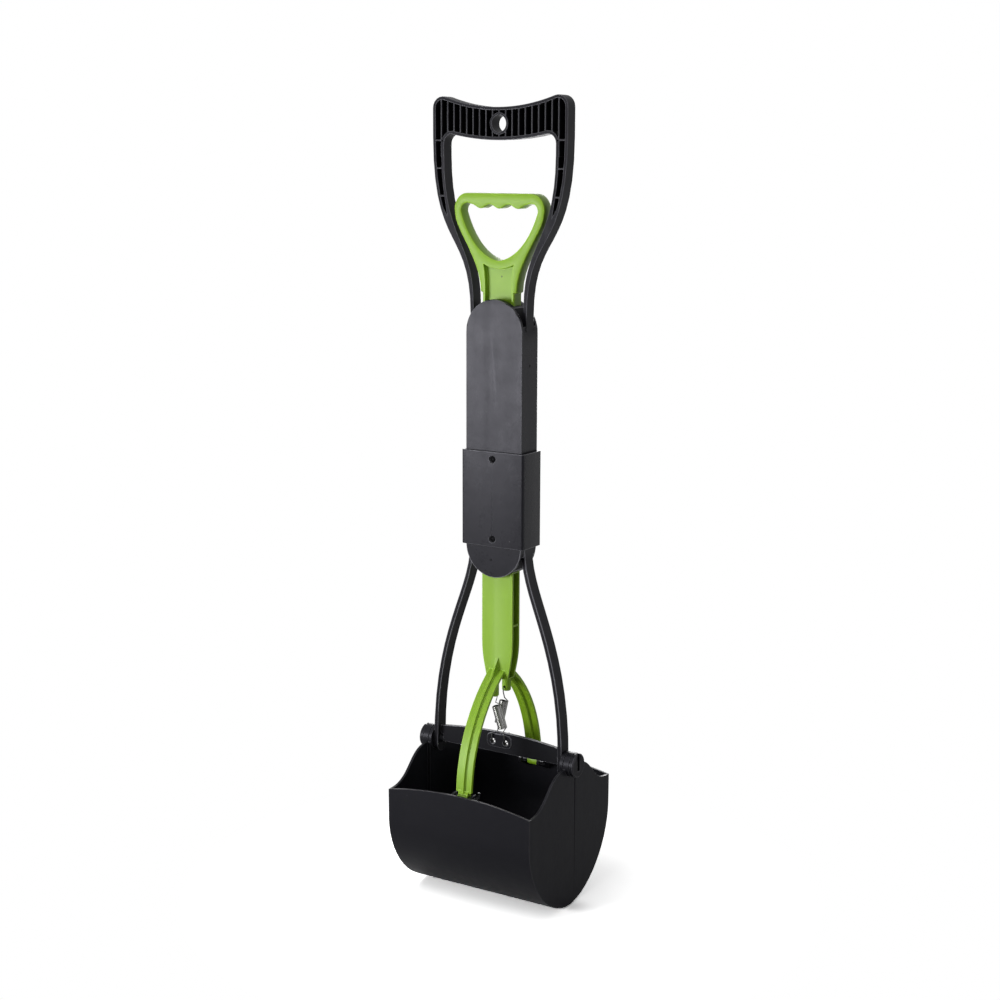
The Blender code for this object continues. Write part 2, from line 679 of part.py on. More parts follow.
def collar_screw(name, direction, surface):
    level = FRAME_JOINT_HEIGHT + direction * (COLLAR_HEIGHT / 2 - SCREW_INSET)
    seat = -COLLAR_DEPTH / 2 + SCREW_RECESS_DEPTH - SEAT_GAP
    crown = seat - SCREW_HEAD_HEIGHT
    stations = [(crown, SCREW_HEAD_RADIUS * 0.7), (crown + SCREW_HEAD_HEIGHT / 2, SCREW_HEAD_RADIUS),
                (seat, SCREW_HEAD_RADIUS), (seat, SCREW_SHANK_RADIUS),
                (seat + SCREW_LENGTH - SCREW_SHANK_RADIUS, SCREW_SHANK_RADIUS),
                (seat + SCREW_LENGTH, SCREW_SHANK_RADIUS / 3)]
    body = turned(stations, "Y", (0, level), name, 20)
    reach = SCREW_HEAD_RADIUS / 2
    half = SCREW_SLOT_WIDTH / 2
    floor = crown + SCREW_SLOT_DEPTH
    front = crown - CUT_OVERRUN
    cross = joined(block((-reach, front, level - half), (reach, floor, level + half)),
                   block((-half, front, level - reach), (half, floor, level + reach)))
    return finish(cut(body, cross), name, surface)


# Pull handle

def pull_grip():
    """Finger grip, neck and stem: a rounded triangle with bumps under its top bar, on a bar."""
    half = PULL_WIDTH / 2
    shoulder = PULL_TOP_HEIGHT - PULL_SHOULDER_DROP
    neck_half = NECK_WIDTH / 2
    side = bezier((half - PULL_CORNER_RADIUS, PULL_TOP_HEIGHT),
                  (half - PULL_CORNER_RADIUS / 3, PULL_TOP_HEIGHT),
                  (half + PULL_CORNER_RADIUS / 5, shoulder + PULL_CORNER_RADIUS / 2),
                  (half, shoulder - PULL_CORNER_RADIUS / 4), 8)
    height = side[-1][1] - NECK_STEP_HEIGHT
    side += bezier(side[-1], (side[-1][0], side[-1][1] - PULL_SIDE_SHARES[0] * height),
                   (neck_half, NECK_STEP_HEIGHT + PULL_SIDE_SHARES[1] * height),
                   (neck_half, NECK_STEP_HEIGHT), 10)[1:]
    side += [(BAR_WIDTH / 2, NECK_STEP_HEIGHT), (BAR_WIDTH / 2, LAP_TOP + SEAT_GAP)]
    outline = side + mirrored(side)
    body = prism(outline, "Y", -BAR_DEPTH / 2, BAR_DEPTH / 2)
    return cut(body, prism(grip_opening(), "Y", -BAR_DEPTH, BAR_DEPTH))


def grip_opening():
    half = PULL_OPENING_HALF_WIDTH
    shoulder = PULL_TOP_HEIGHT - PULL_OPENING_SHOULDER_DROP
    height = shoulder - PULL_OPENING_BOTTOM
    handles = [(a * half, PULL_OPENING_BOTTOM + b * height) for a, b in PULL_OPENING_SIDE_SHARES]
    side = bezier((0, PULL_OPENING_BOTTOM), *handles, (half, shoulder), 10)
    valley = PULL_TOP_HEIGHT - GRIP_BAR_HEIGHT
    wave_end = FINGER_BUMP_PITCH * FINGER_BUMP_COUNT / 2
    side += bezier((half, shoulder), (half + FUSE_DEPTH, shoulder + FINGER_BUMP_HEIGHT),
                   (wave_end + 2 * FINGER_BUMP_HEIGHT, valley + FINGER_BUMP_HEIGHT),
                   (wave_end, valley), 6)[1:]
    steps = 5 * FINGER_BUMP_COUNT
    for step in range(1, steps):
        place_across = wave_end * (1 - step / steps)
        wave = (1 + math.cos(math.tau * place_across / FINGER_BUMP_PITCH)) / 2
        side.append((place_across, valley - FINGER_BUMP_HEIGHT * wave))
    middle = [(0, valley - FINGER_BUMP_HEIGHT)]
    return side + middle + [(-a, b) for a, b in reversed(side[1:])]


def pull_handle(surface):
    body = rounded_edges(pull_grip(), PULL_EDGE_RADIUS)
    tongue_half = BAR_DEPTH / 2 - BAR_FACE_WALL - SEAT_GAP
    tongue = block((-TONGUE_WIDTH / 2, -tongue_half, LAP_BOTTOM + SEAT_GAP),
                   (TONGUE_WIDTH / 2, tongue_half, LAP_TOP + BAR_FACE_WALL))
    body = joined(body, tongue)
    tools = []
    for side in (-1, 1):
        across = sorted((side * (BAR_DEPTH / 2 - PANEL_DEPTH), side * (BAR_DEPTH / 2 + CUT_OVERRUN)))
        tools.append(prism(panel_outline(), "Y", *across))
    tools += link_holes(BAR_DEPTH)
    return finish(cut(body, *tools), "pull_handle", surface)


def panel_outline():
    """Recess in the neck and stem: arched at the top, where it also widens."""
    bottom = LAP_TOP + 2 * BAR_FACE_WALL
    half = PANEL_WIDTH / 2
    top_half = PANEL_TOP_WIDTH / 2
    height = PANEL_TOP_HEIGHT - NECK_STEP_HEIGHT
    flare = bezier((top_half, PANEL_TOP_HEIGHT), (half, PANEL_TOP_HEIGHT - height / 4),
                   (half, NECK_STEP_HEIGHT + height / 4), (half, NECK_STEP_HEIGHT), 6)
    arch = sagging_arc(top_half, PANEL_TOP_DIP, PANEL_TOP_HEIGHT - PANEL_TOP_DIP, 8)
    return arch[1:-1] + flare + [(half, bottom), (-half, bottom)] + mirrored(flare)


def link_heights():
    return [FRAME_JOINT_HEIGHT + direction * LINK_PIN_PITCH / 2 for direction in (-1, 1)]


def link_holes(reach):
    return [rod("Y", (0, level), LINK_PIN_RADIUS + SEAT_GAP, -reach, reach, 16) for level in link_heights()]


def link_pin(name, level, surface):
    half = BAR_DEPTH / 2 - SEAT_GAP
    chamfer = LINK_PIN_RADIUS / 4
    stations = [(-half, LINK_PIN_RADIUS - chamfer), (chamfer - half, LINK_PIN_RADIUS),
                (half - chamfer, LINK_PIN_RADIUS), (half, LINK_PIN_RADIUS - chamfer)]
    return finish(turned(stations, "Y", (0, level), name, 16), name, surface)


# Yoke: ribbed bar, gussets, arched legs, feet and spring posts

def leg_line(offset, start_rise=0):
    """Right-hand side of the arch, from its foot up to the middle, moved out by an offset."""
    radius = LEG_ARC_RADIUS + offset
    centre = FOOT_REACH - LEG_ARC_RADIUS
    start = math.asin(start_rise / radius)
    end = math.acos(-centre / radius)
    return arc((centre, FOOT_HEIGHT), radius, start, end, CURVE_STEPS)


def arch_outline(thickness, start_rise=0):
    outer = leg_line(thickness / 2, start_rise)
    inner = leg_line(-thickness / 2, start_rise)
    outline = outer + mirrored(outer)[1:] + [(-a, b) for a, b in inner] + inner[::-1][1:]
    return without_repeats(outline)


def bar_face_outline():
    half = BAR_WIDTH / 2
    foot = BAR_FOOT_WIDTH / 2
    taper_top = BAR_FOOT_HEIGHT + BAR_TAPER_HEIGHT
    side = [(half, LAP_TOP)]
    side += bezier((half, taper_top), (half, taper_top - BAR_TAPER_HEIGHT / 2),
                   (foot + (half - foot) / 4, BAR_FOOT_HEIGHT + BAR_TAPER_HEIGHT / 4),
                   (foot, BAR_FOOT_HEIGHT), 8)
    return side + mirrored(side)


def slider_bar():
    """Two faces, a middle web and cross ribs: a bar that is open at both sides."""
    depth = BAR_DEPTH / 2
    body = prism(bar_face_outline(), "Y", -depth, depth)
    inner = depth - BAR_FACE_WALL
    web_top = LAP_BOTTOM
    levels = [BAR_FOOT_HEIGHT]
    for index in range(BAR_RIB_COUNT):
        levels.append(BAR_FOOT_HEIGHT + BAR_FIRST_RIB_RISE + index * BAR_RIB_PITCH)
    tools = []
    far = BAR_WIDTH / 2 + CUT_OVERRUN
    for side in (-1, 1):
        across = sorted((side * BAR_WEB / 2, side * far))
        for index, level in enumerate(levels):
            high = levels[index + 1] if index + 1 < len(levels) else LAP_TOP + CUT_OVERRUN
            low = level + BAR_RIB_THICKNESS / 2
            tools.append(block((across[0], -inner, low), (across[1], inner, high - BAR_RIB_THICKNESS / 2)))
    tools.append(block((-far, -inner, web_top), (far, inner, LAP_TOP + CUT_OVERRUN)))
    return cut(body, *tools)


def gusset(side):
    """Upright fin from the face of the bar down onto the outside of a leg."""
    face = BAR_DEPTH / 2 - FUSE_DEPTH
    line = [p for p in leg_line(0) if face < p[0] < GUSSET_REACH]
    points = [(face, BAR_FOOT_HEIGHT + GUSSET_RISE)] + line + [(face, BAR_FOOT_HEIGHT)]
    return prism([(side * a, b) for a, b in points], "X", -GUSSET_WIDTH / 2, GUSSET_WIDTH / 2)


def spring_post(side):
    """Round post under the arch, which ends in the thickness of the leg."""
    centre = (0, side * POST_REACH)
    top = FOOT_HEIGHT + LEG_ARC_RADIUS
    chamfer = POST_RADIUS / 5
    stations = [(POST_BOTTOM_HEIGHT, POST_RADIUS - chamfer), (POST_BOTTOM_HEIGHT + chamfer, POST_RADIUS),
                (top, POST_RADIUS)]
    post = turned(stations, "Z", centre, "post", 20)
    line = leg_line(0)
    under = line + mirrored(line)[1:]
    return common(post, prism(without_repeats(under), "X", -LEG_WIDTH / 2, LEG_WIDTH / 2))


def slider_yoke(surface):
    flanges = prism(arch_outline(LEG_THICKNESS, LEG_END_RISE), "X", -LEG_WIDTH / 2, LEG_WIDTH / 2)
    ribs = prism(arch_outline(LEG_RIB_THICKNESS, LEG_END_RISE), "X", -LEG_RIB_WIDTH / 2, LEG_RIB_WIDTH / 2)
    shanks = prism(arch_outline(FOOT_PIN_RADIUS + LEG_THICKNESS), "X", -FOOT_WIDTH / 2, FOOT_WIDTH / 2)
    ankle = FOOT_HEIGHT + LEG_END_RISE + FOOT_PIN_RADIUS
    far = FOOT_REACH + LEG_ARC_RADIUS
    shanks = cut(shanks, block((-LEG_WIDTH, -far, ankle), (LEG_WIDTH, far, FOOT_HEIGHT + LEG_ARC_RADIUS)))
    pieces = [flanges, ribs, shanks]
    for side in (-1, 1):
        pieces.append(gusset(side))
        pieces.append(spring_post(side))
        pieces.append(rod("X", (side * FOOT_REACH, FOOT_HEIGHT), FOOT_EYE_RADIUS,
                          -FOOT_WIDTH / 2, FOOT_WIDTH / 2, 20))
    body = joined(slider_bar(), *pieces)
    tools = link_holes(BAR_DEPTH)
    for side in (-1, 1):
        tools.append(rod("X", (side * FOOT_REACH, FOOT_HEIGHT), FOOT_PIN_RADIUS + SEAT_GAP,
                         -LEG_WIDTH, LEG_WIDTH, 16))
        through = sorted((side * (POST_REACH - 2 * POST_RADIUS), side * (POST_REACH + 2 * POST_RADIUS)))
        tools.append(rod("Y", (0, POST_HOLE_HEIGHT), POST_HOLE_RADIUS, *through, 12))
    return finish(cut(body, *tools), "slider_yoke", surface)


def foot_pin(name, side, surface):
    half = FOOT_PIN_LENGTH / 2
    chamfer = FOOT_PIN_RADIUS / 4
    stations = [(-half, FOOT_PIN_RADIUS - chamfer), (chamfer - half, FOOT_PIN_RADIUS),
                (half - chamfer, FOOT_PIN_RADIUS), (half, FOOT_PIN_RADIUS - chamfer)]
    return finish(turned(stations, "X", (side * FOOT_REACH, FOOT_HEIGHT), name, 16), name, surface)


# Jaws

def jaw_turn():
    """Angle that both jaws turn through while the slider makes its whole travel."""
    return math.atan2(PIN_DROP, FOOT_REACH) - math.atan2(PIN_DROP - SLIDER_TRAVEL, FOOT_REACH)


def rounded_wall(half_depth, round_height, thickness=0, steps=CURVE_STEPS):
    """Profile of a jaw, from the upright wall down to the middle of the bottom."""
    points = []
    power = 2 / JAW_ROUND_POWER
    for step in range(steps + 1):
        angle = math.pi / 2 * step / steps
        reach = (half_depth - thickness) * max(math.cos(angle), 0) ** power
        points.append((reach, round_height - (round_height - thickness) * math.sin(angle) ** power))
    points[-1] = (0, thickness)
    return points


def bottom_height(reach):
    share = abs(reach) / JAW_HALF_DEPTH
    return JAW_ROUND_HEIGHT * (1 - (1 - share ** JAW_ROUND_POWER) ** (1 / JAW_ROUND_POWER))


def cheek_top():
    """S-shaped top edge of a cheek, from the hinge out to the corner of the rim."""
    start = (CHEEK_TOP_REACH, HINGE_HEIGHT - CHEEK_TOP_DROP)
    end = (JAW_HALF_DEPTH - JAW_WALL, RIM_CORNER_HEIGHT)
    run = end[0] - start[0]
    near = (start[0] + CHEEK_SWEEP_SHARES[1] * run, start[1])
    far = (end[0] - CHEEK_SWEEP_SHARES[0] * run, end[1])
    return bezier(start, near, far, end)


def jaw_blank():
    """Solid half tub, with the outer cheek's overlap all along the seam."""
    rim_top = RIM_CORNER_HEIGHT + RIM_ARCH_RISE + CUT_OVERRUN
    wall = rounded_wall(JAW_HALF_DEPTH, JAW_ROUND_HEIGHT)
    outline = [(JAW_HALF_DEPTH, rim_top)] + wall
    for step in range(1, 4):
        reach = -SEAM_OVERLAP * step / 3
        outline.append((reach, bottom_height(reach)))
    outline.append((-SEAM_OVERLAP, HINGE_HEIGHT - CHEEK_TOP_DROP))
    outline += cheek_top()
    outline.append((JAW_HALF_DEPTH - JAW_WALL, rim_top))
    return prism([(-a, b) for a, b in outline], "X", -CHEEK_OUTSIDE, CHEEK_OUTSIDE)


def jaw_cavity():
    """Cutter for the inside, which leaves the inner cheek thick where it steps in at the seam."""
    top = HINGE_HEIGHT + EAR_RADIUS
    wall = rounded_wall(JAW_HALF_DEPTH, JAW_ROUND_HEIGHT, JAW_WALL)
    past_seam = -SEAM_OVERLAP - CUT_OVERRUN
    outline = [(wall[0][0], top)] + wall + [(past_seam, JAW_WALL), (past_seam, top)]
    cavity = prism([(-a, b) for a, b in outline], "X", -CHEEK_INSIDE, CHEEK_INSIDE)
    step_reach = seam_step_reach() + JAW_WALL
    keep = block((-CHEEK_OUTSIDE, -step_reach, -CUT_OVERRUN),
                 (-INNER_CHEEK_INSIDE, SEAM_OVERLAP + 2 * CUT_OVERRUN, top + CUT_OVERRUN))
    return cut(cavity, keep)


def seam_step_reach():
    return SEAM_OVERLAP + RUNNING_GAP + 3 * SEAM_GAP


def rim_arch_cutter():
    """Takes the wall's top down to a shallow arch between the rim's corners."""
    top = RIM_CORNER_HEIGHT + RIM_ARCH_RISE
    arch = [(a, 2 * top - b) for a, b in sagging_arc(CHEEK_OUTSIDE, RIM_ARCH_RISE, top)]
    above = top + 2 * CUT_OVERRUN
    far = CHEEK_OUTSIDE + CUT_OVERRUN
    outline = [(-far, above), (-far, RIM_CORNER_HEIGHT)] + arch + [(far, RIM_CORNER_HEIGHT), (far, above)]
    return prism(outline, "Y", -JAW_HALF_DEPTH - CUT_OVERRUN, -JAW_HALF_DEPTH + JAW_WALL + SEAM_GAP)


def pin_path(steps=12):
    """Places of the foot pin in the turning jaw's own frame, as (reach, height over the axis)."""
    places = []
    for step in range(steps + 1):
        lift = SLIDER_TRAVEL * step / steps
        turn = -jaw_turn() * step / steps
        reach, rise = FOOT_REACH, lift - PIN_DROP
        places.append((reach * math.cos(turn) - rise * math.sin(turn),
                       reach * math.sin(turn) + rise * math.cos(turn)))
    return places


def pin_slot(margin):
    """Slot that holds the foot pin at every place of its path, with a margin round it."""
    start = Vector((FOOT_REACH, -PIN_DROP))
    inward = -start.normalized()
    across = Vector((-inward.y, inward.x))
    runs = [(Vector(p) - start).dot(inward) for p in pin_path()]
    bows = [(Vector(p) - start).dot(across) for p in pin_path()]
    middle = start + across * (max(bows) + min(bows)) / 2
    radius = FOOT_PIN_RADIUS + SEAT_GAP + (max(bows) - min(bows)) / 2 + margin
    inner_end = middle + inward * max(runs)
    heading = math.atan2(inward.y, inward.x)
    return middle, inner_end, radius, heading


def slot_outline(margin, outward=0):
    """The slot as a closed outline in (y, z); it can run outward to meet the wall."""
    middle, inner_end, radius, heading = pin_slot(margin)
    start = middle - (inner_end - middle).normalized() * outward
    points = arc(tuple(inner_end), radius, heading - math.pi / 2, heading + math.pi / 2)
    points += arc(tuple(start), radius, heading + math.pi / 2, heading + 3 * math.pi / 2)
    return [(-a, b + HINGE_HEIGHT) for a, b in points]


def jaw_lugs():
    """Two slotted lugs on the wall, one each side of the foot."""
    inside = LEG_WIDTH / 2 + RUNNING_GAP
    wall_reach = JAW_HALF_DEPTH - JAW_WALL / 2
    outward = (wall_reach - FOOT_REACH) / math.cos(math.atan2(PIN_DROP, FOOT_REACH))
    lugs = []
    for side in (-1, 1):
        across = sorted((side * inside, side * (inside + LUG_THICKNESS)))
        lug = prism(slot_outline(LUG_WALL, outward), "X", *across)
        wall = rounded_wall(JAW_HALF_DEPTH, JAW_ROUND_HEIGHT, JAW_WALL / 2)
        top = RIM_CORNER_HEIGHT + RIM_ARCH_RISE - LUG_TOP_DROP
        region = [(wall[0][0], top)] + wall + [(0, top)]
        lug = common(lug, prism([(-a, b) for a, b in region], "X", -CHEEK_INSIDE, CHEEK_INSIDE))
        lugs.append(cut(lug, prism(slot_outline(0), "X", -CHEEK_INSIDE, CHEEK_INSIDE)))
    return lugs


def jaw_mesh():
    """The front jaw. The rear one is the same moulding turned half round."""
    body = jaw_blank()
    top = HINGE_HEIGHT + EAR_RADIUS
    past = CUT_OVERRUN
    seam = block((-CHEEK_OUTSIDE - past, -SEAM_GAP / 2, -past), (CHEEK_INSIDE, SEAM_OVERLAP + past, top + past))
    step = block((-CHEEK_OUTSIDE - past, -seam_step_reach(), -past),
                 (-INNER_CHEEK_OUTSIDE, SEAM_OVERLAP + past, top + past))
    ear_room = rod("X", (0, HINGE_HEIGHT), EAR_RADIUS + RUNNING_GAP, -CHEEK_OUTSIDE - past,
                   -INNER_CHEEK_OUTSIDE, 32)
    body = cut(body, jaw_cavity(), seam, step, ear_room, rim_arch_cutter())
    outer_ear = rod("X", (0, HINGE_HEIGHT), EAR_RADIUS, CHEEK_INSIDE + SEAM_GAP / 3, OUTER_EAR_OUTSIDE)
    inner_ear = rod("X", (0, HINGE_HEIGHT), EAR_RADIUS, -INNER_CHEEK_OUTSIDE + SEAM_GAP / 3, -INNER_EAR_INSIDE)
    body = joined(body, outer_ear, inner_ear, *jaw_lugs())
    bore = rod("X", (0, HINGE_HEIGHT), EYE_HOLE_RADIUS, -CHEEK_OUTSIDE - JAW_WIDTH, CHEEK_OUTSIDE + JAW_WIDTH)
    return cut(body, bore)


def jaws(surface):
    front = finish(jaw_mesh(), "jaw_front", surface)
    move_origin(front, (0, 0, HINGE_HEIGHT))
    rear = add_object("jaw_rear", front.data)
    rear.location = front.location
    rear.rotation_euler = (0, 0, math.pi)
    return front, rear


# Hinge pins

def hinge_pin(name, side, surface):
    """Snap pin: slotted head outside the ears, split barb inside the arm."""
    seat = OUTER_EAR_OUTSIDE + SEAT_GAP
    face = seat + HINGE_HEAD_THICKNESS
    chamfer = HINGE_HEAD_THICKNESS / 5
    barb = ARM_INSIDE - SEAT_GAP
    stations = [(face, HINGE_HEAD_RADIUS - chamfer), (face - chamfer, HINGE_HEAD_RADIUS),
                (seat, HINGE_HEAD_RADIUS), (seat, HINGE_PIN_RADIUS), (barb, HINGE_PIN_RADIUS),
                (barb, HINGE_BARB_RADIUS), (barb - HINGE_BARB_LENGTH, HINGE_PIN_RADIUS * 0.8)]
    body = turned([(side * level, radius) for level, radius in stations], "X", (0, HINGE_HEIGHT), name)
    half = HINGE_SLOT_WIDTH / 2
    across = sorted((side * (face - HINGE_SLOT_DEPTH), side * (face + CUT_OVERRUN)))
    slot = block((across[0], -half, HINGE_HEIGHT - HINGE_SLOT_DROP),
                 (across[1], half, HINGE_HEIGHT + HINGE_HEAD_RADIUS + CUT_OVERRUN))
    across = sorted((side * (barb - HINGE_BARB_LENGTH - CUT_OVERRUN), side * barb))
    split = block((across[0], -half / 3, HINGE_HEIGHT - HINGE_HEAD_RADIUS),
                  (across[1], half / 3, HINGE_HEIGHT + HINGE_HEAD_RADIUS))
    return finish(cut(body, slot, split), name, surface)


# Springs

def spring_points(side, lean):
    """One unbroken wire: lower hook, coil and upper hook. side is -1 in front and 1 behind."""
    hook_across = -side * SPRING_HOLE_REACH
    bend = HOOK_BEND_RADIUS
    lower_face = SPRING_BOSS_THICKNESS / 2
    lower = hook_curve(side, (lower_face, -lower_face), SPRING_HOLE_HEIGHT, 1, hook_across, LOWER_TAIL)
    upper = hook_curve(side, (POST_REACH - POST_RADIUS, POST_REACH + POST_RADIUS), POST_HOLE_HEIGHT,
                       -1, 0, UPPER_TAIL)
    top_height = POST_HOLE_HEIGHT - COIL_TOP_DROP
    span = POST_HOLE_HEIGHT - SPRING_HOLE_HEIGHT
    bottom_height_guess = top_height - COIL_LENGTH
    shares = [(POST_HOLE_HEIGHT - level) / span for level in (top_height, bottom_height_guess)]
    top = Vector((hook_across * shares[0] + lean[0], side * COIL_TOP_REACH, top_height))
    low_reach = COIL_TOP_REACH - (COIL_TOP_REACH - lower_face - bend) * COIL_LENGTH / (span - COIL_TOP_DROP)
    bottom = Vector((hook_across * shares[1] + lean[1], side * low_reach, bottom_height_guess))
    coil = coil_points(bottom, top)
    return lower[::-1] + coil + upper


def hook_curve(side, faces, level, lift, across, tail):
    """From the coil to a tail: along one face, through the hole, and up the other face."""
    near, far = faces
    out = 1 if far > near else -1
    bend = HOOK_BEND_RADIUS
    points = [(near - out * bend, level + lift * (bend + HOOK_REACH))]
    for step in range(4):
        turn = math.pi / 2 * step / 3
        points.append((near - out * bend * math.cos(turn), level + lift * bend * (1 - math.sin(turn))))
    for step in range(4):
        turn = math.pi / 2 * step / 3
        points.append((far + out * bend * math.sin(turn), level + bend * (1 - math.cos(turn))))
    points.append((far + out * bend, level + bend + tail))
    return [Vector((across, side * reach, height)) for reach, height in points]


def coil_points(bottom, top):
    """Helix from bottom to top whose ends run in to the middle of the coil."""
    along = (top - bottom).normalized()
    first = along.orthogonal().normalized()
    second = along.cross(first)
    count = COIL_TURNS * POINTS_PER_TURN
    points = []
    for index in range(count + 1):
        angle = math.tau * index / POINTS_PER_TURN
        middle = bottom.lerp(top, index / count)
        points.append(middle + COIL_RADIUS * (math.cos(angle) * first + math.sin(angle) * second))
    run_in = 2 * WIRE_RADIUS + COIL_RADIUS / 2
    return [bottom - along * run_in] + points + [top + along * run_in]


def least_gap(points):
    """Smallest free space between stretches of the wire that aren't neighbours."""
    reach = POINTS_PER_TURN // 2
    least = math.inf
    for index, point in enumerate(points):
        for other in points[index + reach:]:
            least = min(least, (point - other).length)
    return least - 2 * WIRE_RADIUS


def spring(name, side, lean, surface):
    points = spring_points(side, lean)
    curve = bpy.data.curves.new(name, "CURVE")
    curve.dimensions = "3D"
    curve.bevel_depth = WIRE_RADIUS
    curve.bevel_resolution = 1
    curve.use_fill_caps = True
    line = curve.splines.new("POLY")
    line.points.add(len(points) - 1)
    for target, point in zip(line.points, points):
        target.co = (*point, 1)
    print(f"{name}: least gap between turns {least_gap(points) * 1000:.2f} mm")
    return add_object(name, curve, surface)


def empty(name, point):
    marker = bpy.data.objects.new(name, None)
    marker.location = point
    bpy.context.scene.collection.objects.link(marker)
    return marker


def build():
    clear_scene()
    black = material("black_plastic", BLACK, 0.45, 0)
    green = material("green_plastic", GREEN, 0.40, 0)
    steel = material("spring_steel", STEEL, 0.30, 1)
    upper_frame(black)
    lower_frame(black)
    collar_halves(black)
    collar_screw("collar_screw_upper", 1, steel)
    collar_screw("collar_screw_lower", -1, steel)
    hinge_pin("hinge_pin_right", 1, black)
    hinge_pin("hinge_pin_left", -1, black)
    jaws(black)
    slider = empty("slider_axis", (0, 0, SHAFT_BOTTOM))
    levels = link_heights()
    moving = [pull_handle(green), slider_yoke(green),
              link_pin("link_pin_lower", levels[0], steel), link_pin("link_pin_upper", levels[1], steel),
              foot_pin("foot_pin_front", -1, steel), foot_pin("foot_pin_rear", 1, steel)]
    for piece in moving:
        piece.parent = slider
        move_origin(piece, slider.location)
        piece.location = (0, 0, 0)
    spring("spring_front", -1, FRONT_COIL_LEAN, steel)
    spring("spring_rear", 1, REAR_COIL_LEAN, steel)


build()
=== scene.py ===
"""Looks of the scoop on its CAD frame: moulded edges, plastics, steel, springs, floor, lamps and camera."""

import json
import math

import bmesh
import bpy
from mathutils import Matrix, Vector

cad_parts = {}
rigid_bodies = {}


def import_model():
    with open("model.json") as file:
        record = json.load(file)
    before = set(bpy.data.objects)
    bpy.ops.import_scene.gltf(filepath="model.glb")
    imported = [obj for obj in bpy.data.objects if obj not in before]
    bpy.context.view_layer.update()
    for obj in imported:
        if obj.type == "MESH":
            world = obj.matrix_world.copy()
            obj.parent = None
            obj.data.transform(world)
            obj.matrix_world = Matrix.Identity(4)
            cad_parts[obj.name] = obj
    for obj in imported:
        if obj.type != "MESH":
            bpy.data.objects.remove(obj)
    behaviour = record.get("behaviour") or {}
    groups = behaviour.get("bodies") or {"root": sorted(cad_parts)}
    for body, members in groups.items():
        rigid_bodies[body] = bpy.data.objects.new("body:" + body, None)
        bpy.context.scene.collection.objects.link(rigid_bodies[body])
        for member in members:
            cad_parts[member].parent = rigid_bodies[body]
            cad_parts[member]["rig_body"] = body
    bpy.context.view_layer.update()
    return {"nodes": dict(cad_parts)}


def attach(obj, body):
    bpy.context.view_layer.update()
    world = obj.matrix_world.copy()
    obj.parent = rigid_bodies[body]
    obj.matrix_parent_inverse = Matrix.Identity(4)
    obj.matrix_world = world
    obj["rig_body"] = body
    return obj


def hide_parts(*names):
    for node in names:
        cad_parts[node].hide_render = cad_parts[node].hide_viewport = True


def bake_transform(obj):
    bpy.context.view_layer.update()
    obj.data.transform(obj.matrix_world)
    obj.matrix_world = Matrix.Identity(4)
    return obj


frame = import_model()

# Camera, fitted to the photograph. Lengths in metres, angles in radians, image sizes in pixels.
IMAGE_SIZE = 1000
FOCAL_PIXELS = 1767.97
PRINCIPAL_POINT = (501.2, 512.19)
CAMERA_YAW = 0.55704
CAMERA_PITCH = -0.19746
CAMERA_ROLL = 0.00389
CAMERA_PLACE = (0.711463, -1.142311, 0.579236)
SENSOR_WIDTH = 36                   # in millimetres
CLIP_START, CLIP_END = 0.05, 30

# Colours, linear
BLACK = (0.0078, 0.0078, 0.0098)
# The edge colours are lighter than the plastic they round: a painted highlight along the edges, over the
# glossier finish of rubbed edges.
BLACK_EDGE_HIGHLIGHT = (0.0500, 0.0500, 0.0550)
ARM_EDGE_HIGHLIGHT = (0.1200, 0.1200, 0.1320)
JAW_EDGE_HIGHLIGHT = (0.0300, 0.0300, 0.0335)
COOL = (0.90, 0.89, 1.0, 1.0)       # tint of the black plastic's gloss
GREEN = (0.188, 0.338, 0.016)
# The green edge colour is lighter than the green: a painted highlight along the rounded edges.
GREEN_EDGE_HIGHLIGHT = (0.270, 0.460, 0.034)
MARK = (0.004, 0.004, 0.0045)
DUST = (0.20, 0.20, 0.20, 1)
STEEL = (0.34, 0.34, 0.33)
PIN_STEEL = (0.055, 0.055, 0.058)

# Plastic: noise as scale, detail and roughness, and bumps as depth and strength
SLOW_NOISE = (70.0, 3.0, 0.6)
CLOUD_NOISE = (420.0, 2.0, 0.5)
GRAIN_NOISE = (1500.0, 2.0, 0.65)
FLOW_NOISE = (1.0, 2.0, 0.5)
FLOW_STRETCH = (130.0, 130.0, 9.0)
SLOW_SHARE, FLOW_SHARE = 0.55, 0.45
UNEVEN_GLOSS = 0.13
CLOUD_GLOSS = 0.03
WAVES = (0.0010, 0.10)
STREAKS = (0.0002, 0.30)
GRAIN_DEPTH = 0.00003
DUST_SCALE, DUST_REACH = 75.0, 0.028
DUST_PATCHES, DUST_FROM = 31.0, 0.53
GREEN_DEPTH_SHARE = 0.10
GREEN_DEPTH = (0.0012, 0.0016, 0.0004)

# Finishes of the plastics
SHAFT_FINISH = {"specular": 0.105, "roughness": 0.29, "mottle": 0.14, "grain": 0.60, "dust": 0.5}
JAW_FINISH = {"specular": 0.105, "roughness": 0.35, "mottle": 0.10, "grain": 0.45, "dust": 0.25}
EDGE_FINISH = {"specular": 0.30, "roughness": 0.30, "mottle": 0.20, "grain": 0.35}
ARM_EDGE_FINISH = {"specular": 0.40, "roughness": 0.28, "mottle": 0.20, "grain": 0.35}
JAW_EDGE_FINISH = {"specular": 0.20, "roughness": 0.33, "mottle": 0.20, "grain": 0.35}
SCREW_FINISH = {"specular": 0.04, "roughness": 0.30, "mottle": 0.10, "grain": 0.2}
MARK_FINISH = {"specular": 0.06, "roughness": 0.45, "mottle": 0.10, "grain": 0.4}
GREEN_FINISH = {"roughness": 0.42, "mottle": 0.07, "grain": 0.35, "uneven": 0.03}
GREEN_SPECULAR, GREEN_EDGE_SPECULAR = 0.24, 0.30
